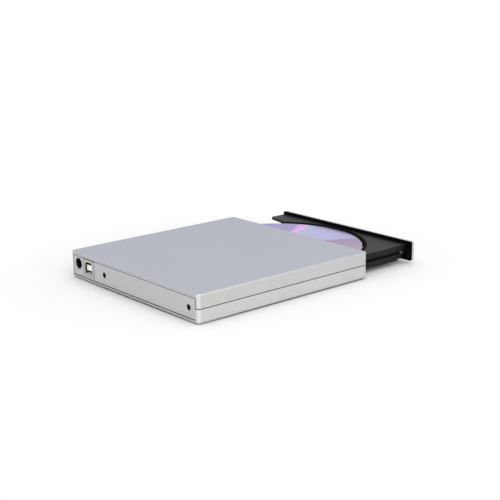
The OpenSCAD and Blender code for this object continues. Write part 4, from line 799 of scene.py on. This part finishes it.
def lathed(name, centre, profile, finishes, steps):
    solid = bmesh.new()
    rows = []
    for radius, height, _ in profile:
        row = []
        for k in range(steps if radius > 0.0 else 1):
            angle = math.tau * k / steps
            row.append(solid.verts.new(spot(
                centre[0] + radius * math.cos(angle), centre[1] + radius * math.sin(angle), height)))
        rows.append(row)
    for low, high, (_, _, band) in zip(rows, rows[1:] + rows[:1], profile):
        for k in range(steps):
            around = [low[k % len(low)], low[(k + 1) % len(low)],
                      high[(k + 1) % len(high)], high[k % len(high)]]
            corners = list(dict.fromkeys(around))
            if len(corners) > 2:
                face = solid.faces.new(corners)
                face.material_index = band
                face.smooth = True
    return as_piece(name, solid, finishes)


def blocks(name, boxes, edge, finish):
    solid = bmesh.new()
    for low, high in boxes:
        for corner in bmesh.ops.create_cube(solid, size=2.0)["verts"]:
            corner.co = spot(*[high[k] if corner.co[k] > 0 else low[k] for k in range(3)])
    bmesh.ops.bevel(solid, geom=solid.edges[:], offset=edge * MM, segments=2, profile=0.5, affect="EDGES")
    return as_piece(name, solid, [finish])


socket_black = moulded(
    "socket_black", SOCKET_BLACK, rough=0.45, grain_size=0.00018, depth=0.000012, shine=0.22)
can_metal = rolled_sheet("can_metal", CAN_METAL, rough=0.26)
can = lathed("capacitor_can", CAN_PLACE, CAN_PROFILE, [can_metal], CAN_STEPS)
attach(can, "case")
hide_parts("capacitor")
base_low = (CAN_PLACE[0] - BASE_HALF, CAN_PLACE[1] - BASE_HALF, BRIDGE_TOP)
base_high = (CAN_PLACE[0] + BASE_HALF, CAN_PLACE[1] + BASE_HALF, BASE_TOP)
can_base = blocks("capacitor_base", [(base_low, base_high)], BASE_EDGE, socket_black)
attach(can_base, "case")

# The connectors between the bridge board and the drive: white moulded bodies that plug together end on.
# Gilt strips lie on the tongue, and tinned tails are soldered to both boards.
# A strip or tail is listed by width, thickness, reach and rise, and its row by distance back and height.
NATURAL_WHITE = (0.80, 0.79, 0.75)
GILT = (0.83, 0.60, 0.24)
STRIP_COUNT = 25
STRIP_START = -19.4
STRIP_STEP = 1.27
STRIP = (0.6, 0.08, 2.2, 0.0)
STRIP_Y = 131.0
STRIP_LEVELS = (6.25, 5.05)
BRIDGE_TAIL = (0.4, 0.12, 0.9, 0.6)
BRIDGE_TAIL_PLACE = (135.5, BRIDGE_TOP + LEG_SOLDER)
DRIVE_TAIL = (0.4, 0.12, 1.0, 0.6)
DRIVE_TAIL_PLACE = (124.6, MAIN_TOP + LEG_SOLDER)
white_moulding = moulded(
    "white_moulding", NATURAL_WHITE, rough=0.42, grain_size=0.0003, depth=0.000008, shine=0.35)
gilt = rolled_sheet("gilt", GILT, rough=0.24)
dress(white_moulding, "bridge_connector", "drive_connector")
strip_xs = [STRIP_START + STRIP_STEP * k for k in range(STRIP_COUNT)]
for name, finish, slot_name, y, z, turn, (width, thickness, reach, rise) in (
        ("tongue_strips", gilt, "gold", STRIP_Y, STRIP_LEVELS[0], FORWARD, STRIP),
        ("tongue_under_strips", gilt, "gold", STRIP_Y, STRIP_LEVELS[1], FORWARD, STRIP),
        ("bridge_connector_tails", tin, "tin_plate", *BRIDGE_TAIL_PLACE, REARWARD, BRIDGE_TAIL),
        ("drive_connector_tails", tin, "tin_plate", *DRIVE_TAIL_PLACE, FORWARD, DRIVE_TAIL)):
    strips = made(leg_tree, name, [(x, y, z) for x in strip_xs], finish, [turn] * STRIP_COUNT,
                  Width=width * MM, Thickness=thickness * MM, Reach=reach * MM, Rise=rise * MM)
    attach(strips, "case")

# The data socket: a square tinned shell, folded from sheet, round a white moulded block with a tongue.
# Four gilt contacts lie on the tongue, and the shell is soldered to the bridge board.
SOCKET_WHITE = (0.94, 0.94, 0.98)
SHELL_TIN = (0.54, 0.52, 0.465)
socket_white = moulded(
    "socket_white", SOCKET_WHITE, rough=0.38, grain_size=0.0003, depth=0.000008, shine=0.35)
dress(rolled_sheet("shell_tin", SHELL_TIN, rough=0.30), "usb_shell")
dress(socket_white, "usb_insulator")
dress(gilt, "usb_contacts")

# The power socket: a black moulded housing on the bridge board, open to the back.
# A turned and tinned pin stands in the middle of its bore.
dress(socket_black, "dc_jack")
dress(turned_metal("tinned_pin", TIN, rough=0.26), "dc_pin")

# The drive's chassis and top plate: zinc coated steel sheet, pressed and folded to a pan and its lid.
# Four small black screws close the lid.
ZINC_SHEET = (0.52, 0.53, 0.54)
TOP_SCREW_XS = (-62.2, 62.2)
TOP_SCREW_YS = (12.4, 104.4)
TOP_SCREW_LEVEL = 14.4
zinc_sheet = rolled_sheet("zinc_sheet", ZINC_SHEET, rough=0.36)
dress(zinc_sheet, "drive_chassis", "drive_top_plate")
top_screws = [(x, y, TOP_SCREW_LEVEL) for x in TOP_SCREW_XS for y in TOP_SCREW_YS]
screws("top_plate_pan_heads", "case", "top_plate_screws", "black_screw", top_screws, blackened,
       Facing=FACING_UP, Head_Radius=1.4 * MM, Head_Height=0.5 * MM, Shank_Radius=0.55 * MM,
       Shank_Length=1.6 * MM)

# The slides: two slippery white moulded guides, fixed to the sides of the chassis.
# A folded zinc coated rail runs in each guide and carries the tray, so that it can be drawn right out.
dress(white_moulding, "left_guide", "right_guide")
dress(zinc_sheet, "left_rail", "right_rail")

# The striker: a ground steel post riveted to the chassis.
# The tray's latch hooks round it when the tray is shut.
GROUND_STEEL = (0.60, 0.61, 0.62)
ground_steel = turned_metal("ground_steel", GROUND_STEEL, rough=0.22)
dress(ground_steel, "latch_striker")

# The tray: one charcoal moulding with a fine spark-eroded texture, hollow and ribbed underneath.
# Its round recess for the disc is duller than the rest.
# A round moulded stop ends the rail groove by the front plate, with a small steel pin in it.
TRAY_CHARCOAL = (0.0032, 0.0032, 0.0033)
TRAY_SHINE = 0.195
TRAY_ROUGH = 0.50
RECESS_ROUGH = 1.0
RECESS_RADIUS = 63.1
RECESS_EDGE = 0.1
SPINDLE_X = 3.0
SPINDLE_Y = 17.5
STOP_PLACE = (-58.65, -43.0, 7.75)
STOP_GREY = (0.020, 0.020, 0.019)
STOP_RADIUS = 1.75
STOP_LONG = 1.6
STOP_SOFTNESS = 0.22
PIN_PLACE = (-58.75, -41.2, 7.8)
PIN_RADIUS = 0.42
PIN_LONG = 1.4
PIN_SOFTNESS = 0.3
FACING_LEFT = (0.0, -math.pi / 2, 0.0)
tray_finish = moulded(
    "tray_charcoal", TRAY_CHARCOAL, TRAY_ROUGH, grain_size=0.00022, depth=0.00002, shine=TRAY_SHINE)
tray_tree = tray_finish.node_tree
tray_roughness = skin_of(tray_finish).inputs["Roughness"]
recess_centre = spot(SPINDLE_X, SPINDLE_Y, 0.0)
recess_place = placed(tray_tree, own_place(tray_tree), scale=(1.0, 1.0, 0.0),
                      shift=(-recess_centre.x, -recess_centre.y, 0.0))
recess_dull = spread(tray_tree, distance(tray_tree, recess_place), RECESS_ROUGH, 0.0,
                     (RECESS_RADIUS - RECESS_EDGE) * MM, RECESS_RADIUS * MM)
tray_tree.links.new(figure(tray_tree, "MAXIMUM", tray_roughness.links[0].from_socket, recess_dull),
                    tray_roughness)
dress(tray_finish, "tray")
peg_tree, peg_feed = maker(
    "soft_pegs", Radius=STOP_RADIUS * MM, Height=STOP_LONG * MM, Softness=STOP_SOFTNESS, Facing=FACING_LEFT)
closed(peg_tree, peg_feed, puck(peg_tree, peg_feed["Radius"], peg_feed["Height"], peg_feed["Softness"]),
       peg_feed["Facing"], smooth=True)
stop_finish = moulded("stop_moulding", STOP_GREY, rough=0.36, grain_size=0.00022, depth=0.00001, shine=0.5)
groove_stop = made(peg_tree, "groove_stop", [STOP_PLACE], stop_finish)
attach(groove_stop, "tray")
stop_pin = made(peg_tree, "groove_stop_pin", [PIN_PLACE], ground_steel, Radius=PIN_RADIUS * MM,
                Height=PIN_LONG * MM, Softness=PIN_SOFTNESS)
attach(stop_pin, "tray")

# The front plate: a black moulded inner plate hooked into the tray, under a silver painted outer cover.
# The button is painted like the cover, and the light pipe is a clear moulding.
PLATE_BLACK = (0.0025, 0.0025, 0.0026)
BEZEL_SILVER = (0.520, 0.522, 0.522)
CLEAR_TINT = (0.90, 0.93, 0.97)
CLEAR_INDEX = 1.49
SWIRLS_PER_M = 900.0
SWIRL_DARK = 0.96
SWIRL_ROUGH = 0.05
SWIRL_DEPTH = 0.000004


def clear_moulding(name, tint, rough, pass_share):
    material, tree, skin, place = start_finish(name)
    swirl = grain(tree, place, SWIRLS_PER_M)
    tone = ramp(tree, swirl, [(0.3, shade(tint, SWIRL_DARK)), (0.7, tint)])
    tree.links.new(tone, skin.inputs["Base Color"])
    tree.links.new(spread(tree, swirl, rough, rough + SWIRL_ROUGH), skin.inputs["Roughness"])
    settle(skin, Transmission_Weight=pass_share, IOR=CLEAR_INDEX)
    raised(tree, skin, swirl, SWIRL_DEPTH, strength=0.2)
    return material


plate_black = moulded("plate_black", PLATE_BLACK, rough=0.6, grain_size=0.00022, depth=0.00001, shine=0.04)
bezel_silver = flake_paint("bezel_silver", BEZEL_SILVER, rough=0.42)
clear_plastic = clear_moulding("clear_plastic", CLEAR_TINT, rough=0.06, pass_share=0.9)
dress(plate_black, "bezel_back")
dress(bezel_silver, "bezel_cover", "eject_button")
dress(clear_plastic, "light_pipe")

# The shield under the tray: a slotted zinc coated sheet that covers the mechanism from below.
# Six flat black screws hold it to the tray's bosses.
TRAY_FRONT = -47.8
SHIELD_SCREW_LEVEL = 2.7
SHIELD_SCREWS = [(-52.9, 40.0), (-52.9, 90.0), (34.0, 30.0), (34.0, 90.0), (-14.0, 90.0), (6.0, 6.0)]
dress(zinc_sheet, "tray_shield")
shield_screws = [(x, y + TRAY_FRONT, SHIELD_SCREW_LEVEL) for x, y in SHIELD_SCREWS]
screws("shield_flat_heads", "tray", "shield_screws", "black_screw", shield_screws, blackened,
       Facing=FACING_DOWN, Head_Radius=1.6 * MM, Head_Height=0.2 * MM, Shank_Radius=0.75 * MM,
       Shank_Length=4.0 * MM)

# The eject switch: a small black moulded switch behind the button.
# It is soldered to a board of its own, which the tray holds.
dress(socket_black, "eject_switch")

# The latch: a coil of enamelled copper wire, wound on a white moulded bobbin that the tray holds.
# The coil pulls the white moulded lever, which turns on a ground steel pivot.
COPPER = (0.62, 0.27, 0.12)
BOBBIN = [((11.03, -34.37, 3.63), (12.2, -27.23, 8.37)), ((23.8, -34.37, 3.63), (24.97, -27.23, 8.37)),
          ((11.6, -33.0, 4.8), (24.4, -28.6, 7.2))]
BOBBIN_EDGE = 0.2
COIL_PLACE = (12.35, -30.8, 6.0)
COIL_TURNS = 33
COIL_LONG = 11.3
COIL_ACROSS = 2.8
COIL_TALL = 1.8
WIRE_RADIUS = 0.17
WIRE_SIDES = 6
TURN_STEPS = 24
LAID_DOWN = (0.0, math.pi / 2, 0.0)
coil_tree, coil_feed = maker(
    "wound_wire", Turns=COIL_TURNS, Start=0.0, Length=COIL_LONG * MM, Across=COIL_ACROSS * MM,
    Tall=COIL_TALL * MM, Wire=WIRE_RADIUS * MM)
spiral = wired(coil_tree, "GeometryNodeCurveSpiral", {
    "Resolution": TURN_STEPS, "Rotations": coil_feed["Turns"], "Start Radius": 1.0, "End Radius": 1.0,
    "Height": coil_feed["Length"]})
oval = shifted(coil_tree, spiral.outputs[0],
               scale=vector(coil_tree, coil_feed["Tall"], coil_feed["Across"], 1.0))
laid = shifted(coil_tree, oval, vector(coil_tree, x=coil_feed["Start"]), LAID_DOWN)
wire = wired(coil_tree, "GeometryNodeCurvePrimitiveCircle", {
    "Resolution": WIRE_SIDES, "Radius": coil_feed["Wire"]}, mode="RADIUS")
coil = wired(coil_tree, "GeometryNodeCurveToMesh", {
    "Curve": laid, "Profile Curve": wire.outputs[0], "Fill Caps": True})
closed(coil_tree, coil_feed, coil.outputs[0], turned_by_place(coil_tree), smooth=True)
enamel = turned_metal("enamelled_copper", COPPER, rough=0.28)
bobbin = blocks("latch_bobbin", BOBBIN, BOBBIN_EDGE, white_moulding)
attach(bobbin, "tray")
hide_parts("solenoid")
winding = made(coil_tree, "latch_winding", [COIL_PLACE], enamel, [0.0])
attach(winding, "tray")
dress(ground_steel, "latch_pivot")
dress(white_moulding, "latch_lever")

# The traverse: a pressed zinc coated frame hung on three rubber bushes by shouldered screws.
# It carries two ground rods, the sled motor and a black painted cover over the mechanism.
DAMPER_SCREWS = [(7.24, 37.30, 3.7), (22.80, 21.74, 3.7), (-46.50, -32.0, 3.7)]
BLACK_SHEET = (0.022, 0.022, 0.023)
dress(zinc_sheet, "traverse_frame", "sled_motor")
dress(rubber, "damper_bushes")
dress(ground_steel, "guide_rods")
black_sheet = moulded("black_sheet", BLACK_SHEET, rough=0.48, grain_size=0.0003, depth=0.000012, shine=0.3)
dress(black_sheet, "mechanism_cover")
screws("damper_shoulder_screws", "tray", "damper_screws", "black_screw", DAMPER_SCREWS, blackened,
       Facing=FACING_DOWN, Head_Radius=2.2 * MM, Head_Height=0.4 * MM, Shank_Radius=0.95 * MM,
       Shank_Length=4.1 * MM)

# The lead screw: a ground steel rod with a rolled two-start thread that drives the sled along the rods.
# It lies beside the rods, from the sled motor towards the spindle.
# Places on the traverse are given along the rods from the spindle's axis, and to the side of it.
ALONG = math.sqrt(0.5)
SCREW_SIDE = 17.5
SCREW_LEVEL = 6.3
SCREW_ENDS = (10.6, 66.8)
TIP_RADIUS = 0.6
TIP_LONG = 0.2
END_RADIUS = 0.8
SHOULDER = 0.1
THREAD_ENDS = (22.6, 64.8)
CORE_RADIUS = 0.9
THREAD_RADIUS = 1.2
THREAD_LEAD = 3.0
THREAD_STARTS = 2
THREAD_STEP = 0.1
FLANK_SLOPE = 4.0
FLANK_START = 0.5
RUN_OUT = 0.6
ROUND_STEPS = 28


def on_traverse(u, v, z):
    return spot(SPINDLE_X + ALONG * (v - u), SPINDLE_Y - ALONG * (u + v), z)


def thread_radius(u, angle):
    phase = (THREAD_STARTS * (u / THREAD_LEAD - angle / math.tau)) % 1.0
    rise = min(max(min(phase, 1.0 - phase) * FLANK_SLOPE - FLANK_START, 0.0), 1.0)
    run_out = min(max(min(u - THREAD_ENDS[0], THREAD_ENDS[1] - u) / RUN_OUT, 0.0), 1.0)
    return CORE_RADIUS + (THREAD_RADIUS - CORE_RADIUS) * rise * run_out


thread_count = round((THREAD_ENDS[1] - THREAD_ENDS[0]) / THREAD_STEP)
stations = [(SCREW_ENDS[0], TIP_RADIUS), (SCREW_ENDS[0] + TIP_LONG, END_RADIUS),
            (THREAD_ENDS[0] - SHOULDER, END_RADIUS)]
stations += [(THREAD_ENDS[0] + k * THREAD_STEP, None) for k in range(thread_count + 1)]
stations += [(THREAD_ENDS[1] + SHOULDER, END_RADIUS), (SCREW_ENDS[1] - TIP_LONG, END_RADIUS),
             (SCREW_ENDS[1], TIP_RADIUS)]
screw_solid = bmesh.new()
screw_rows = []
for u, plain_radius in stations:
    row = []
    for k in range(ROUND_STEPS):
        angle = math.tau * k / ROUND_STEPS
        radius = thread_radius(u, angle) if plain_radius is None else plain_radius
        row.append(screw_solid.verts.new(on_traverse(
            u, SCREW_SIDE + radius * math.cos(angle), SCREW_LEVEL + radius * math.sin(angle))))
    screw_rows.append(row)
for low, high in zip(screw_rows, screw_rows[1:]):
    for k in range(ROUND_STEPS):
        after = (k + 1) % ROUND_STEPS
        screw_solid.faces.new((low[k], low[after], high[after], high[k])).smooth = True
screw_solid.faces.new(screw_rows[0])
screw_solid.faces.new(screw_rows[-1])
thread = as_piece("threaded_lead_screw", screw_solid, [ground_steel])
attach(thread, "lead_screw")
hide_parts("lead_screw")

# The spindle motor: a black plate and a nine-tooth star, each tooth wound with copper wire.
# The turntable over it is turned steel with a rubber ring and three sprung white claws for the disc.
STAR_TEETH = 9
STAR_LEVEL = 6.7
STAR_TURNS = 12
dress(black_sheet, "spindle_motor")
tooth_places = [(SPINDLE_X, SPINDLE_Y, STAR_LEVEL)] * STAR_TEETH
tooth_turns = [math.tau * k / STAR_TEETH for k in range(STAR_TEETH)]
star = made(coil_tree, "spindle_windings", tooth_places, enamel, tooth_turns, Turns=STAR_TURNS,
            Start=4.0 * MM, Length=4.2 * MM, Across=1.0 * MM, Tall=0.78 * MM, Wire=0.15 * MM)
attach(star, "tray")
dress(ground_steel, "turntable")
dress(rubber, "turntable_pad")
dress(white_moulding, "hub_claws")

# The pickup sled: a dark reinforced moulding that slides on the rods, with a clear lens under a black cover.
# A white moulded nut on its side rides in the thread of the lead screw.
SLED_GREY = (0.035, 0.036, 0.040)
sled_moulding = moulded("sled_moulding", SLED_GREY, rough=0.45, grain_size=0.0003, depth=0.000012, shine=0.3)
dress(sled_moulding, "pickup")
dress(plate_black, "lens_cover")
dress(clear_plastic, "objective_lens")
dress(white_moulding, "feed_nut")

# The disc: clear moulded plastic over a metal layer whose fine spiral track splits the light, here a painted
# reflection in rainbow sectors fixed round the centre.
# The hub and the outer rim stay clear, and a mirror band lies inside the track.
# A shallow ring groove is moulded round the hub.
DISC_CENTRE = (SPINDLE_X, SPINDLE_Y)
DISC_RADIUS = 60.0
DISC_TOP = 12.0
DISC_UNDER = 10.8
DISC_EDGE = 0.12
HOLE_RADIUS = 7.5
GROOVE_INNER = 16.6
GROOVE_OUTER = 17.5
GROOVE_WALL = 0.1
GROOVE_FLOOR = 11.85
MIRROR_START = 21.5
TRACK_START = 23.0
TRACK_END = 59.4
CLEAR_BAND, MIRROR_BAND, TRACK_BAND, RIM_BAND = range(4)
DISC_PROFILE = [
    (HOLE_RADIUS + DISC_EDGE, DISC_TOP, CLEAR_BAND), (GROOVE_INNER, DISC_TOP, CLEAR_BAND),
    (GROOVE_INNER + GROOVE_WALL, GROOVE_FLOOR, CLEAR_BAND),
    (GROOVE_OUTER - GROOVE_WALL, GROOVE_FLOOR, CLEAR_BAND),
    (GROOVE_OUTER, DISC_TOP, CLEAR_BAND), (MIRROR_START, DISC_TOP, MIRROR_BAND),
    (TRACK_START, DISC_TOP, TRACK_BAND), (TRACK_END, DISC_TOP, RIM_BAND),
    (DISC_RADIUS - DISC_EDGE, DISC_TOP, RIM_BAND), (DISC_RADIUS, DISC_TOP - DISC_EDGE, RIM_BAND),
    (DISC_RADIUS, DISC_UNDER + DISC_EDGE, RIM_BAND), (DISC_RADIUS - DISC_EDGE, DISC_UNDER, RIM_BAND),
    (TRACK_END, DISC_UNDER, TRACK_BAND), (TRACK_START, DISC_UNDER, MIRROR_BAND),
    (MIRROR_START, DISC_UNDER, CLEAR_BAND), (HOLE_RADIUS + DISC_EDGE, DISC_UNDER, CLEAR_BAND),
    (HOLE_RADIUS, DISC_UNDER + DISC_EDGE, CLEAR_BAND), (HOLE_RADIUS, DISC_TOP - DISC_EDGE, CLEAR_BAND)]
DISC_STEPS = 256
VIOLET = (0.232, 0.182, 0.475)
PINK = (0.72, 0.26, 0.91)
ROSE = (0.80, 0.38, 0.66)
LAVENDER = (0.39, 0.38, 0.68)
SKY = (0.335, 0.395, 0.70)
DEEP_LAVENDER = (0.37, 0.37, 0.66)
MAUVE = (0.266, 0.168, 0.356)
PLUM = (0.36, 0.23, 0.36)
PALE = (0.52, 0.50, 0.60)
# Painted reflection: the track's rainbow sheen, listed as colours by angle round the centre.
PAINTED_SHEEN = [
    (-180, PALE), (-146, PLUM), (-126, MAUVE), (-119, MAUVE), (-113, LAVENDER), (-90, DEEP_LAVENDER),
    (-80, LAVENDER), (-70, SKY), (-67, ROSE), (-64, PINK), (-61, PINK), (-59, VIOLET), (-30, VIOLET),
    (-8, PALE), (34, PALE), (62, MAUVE), (66, LAVENDER), (108, LAVENDER), (113, PINK), (117, PINK),
    (121, VIOLET), (150, VIOLET), (180, PALE)]
RINGS_PER_M = 420.0
RING_SHADE = (0.965, 0.965, 0.965)
RIM_TINT = (0.30, 0.30, 0.33)
MIRROR = (0.62, 0.60, 0.66)


def turn_share(degrees):
    return 0.5 + degrees / 360.0


track_layer, track_tree, track_skin, track_own = start_finish("disc_track")
track_centre = spot(*DISC_CENTRE, 0.0)
track_place = placed(track_tree, track_own, shift=(-track_centre.x, -track_centre.y, 0.0))
sweep = wired(track_tree, "ShaderNodeTexGradient", {"Vector": track_place}, gradient_type="RADIAL")
painted_sheen_stops = [(turn_share(degrees), colour) for degrees, colour in PAINTED_SHEEN]
bands = ramp(track_tree, sweep.outputs["Fac"], painted_sheen_stops)
rings = wired(track_tree, "ShaderNodeTexWave", {
    "Vector": track_place, "Scale": RINGS_PER_M, "Distortion": 0.0}, wave_type="RINGS", rings_direction="Z")
fine_rings = ramp(track_tree, rings.outputs["Fac"], [(0.2, RING_SHADE), (0.8, WHITE)])
track_tree.links.new(laid_over(track_tree, bands, fine_rings), track_skin.inputs["Base Color"])
settle(track_skin, Metallic=0.85, Roughness=0.22)
mirror_layer = turned_metal("disc_mirror", MIRROR, rough=0.16)
rim_clear = clear_moulding("disc_rim", RIM_TINT, rough=0.12, pass_share=0.25)
hub_clear = clear_moulding("disc_hub", CLEAR_TINT, rough=0.05, pass_share=0.9)
disc_layers = [hub_clear, mirror_layer, track_layer, rim_clear]
disc = lathed("spun_disc", DISC_CENTRE, DISC_PROFILE, disc_layers, DISC_STEPS)
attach(disc, "spindle")
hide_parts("disc")
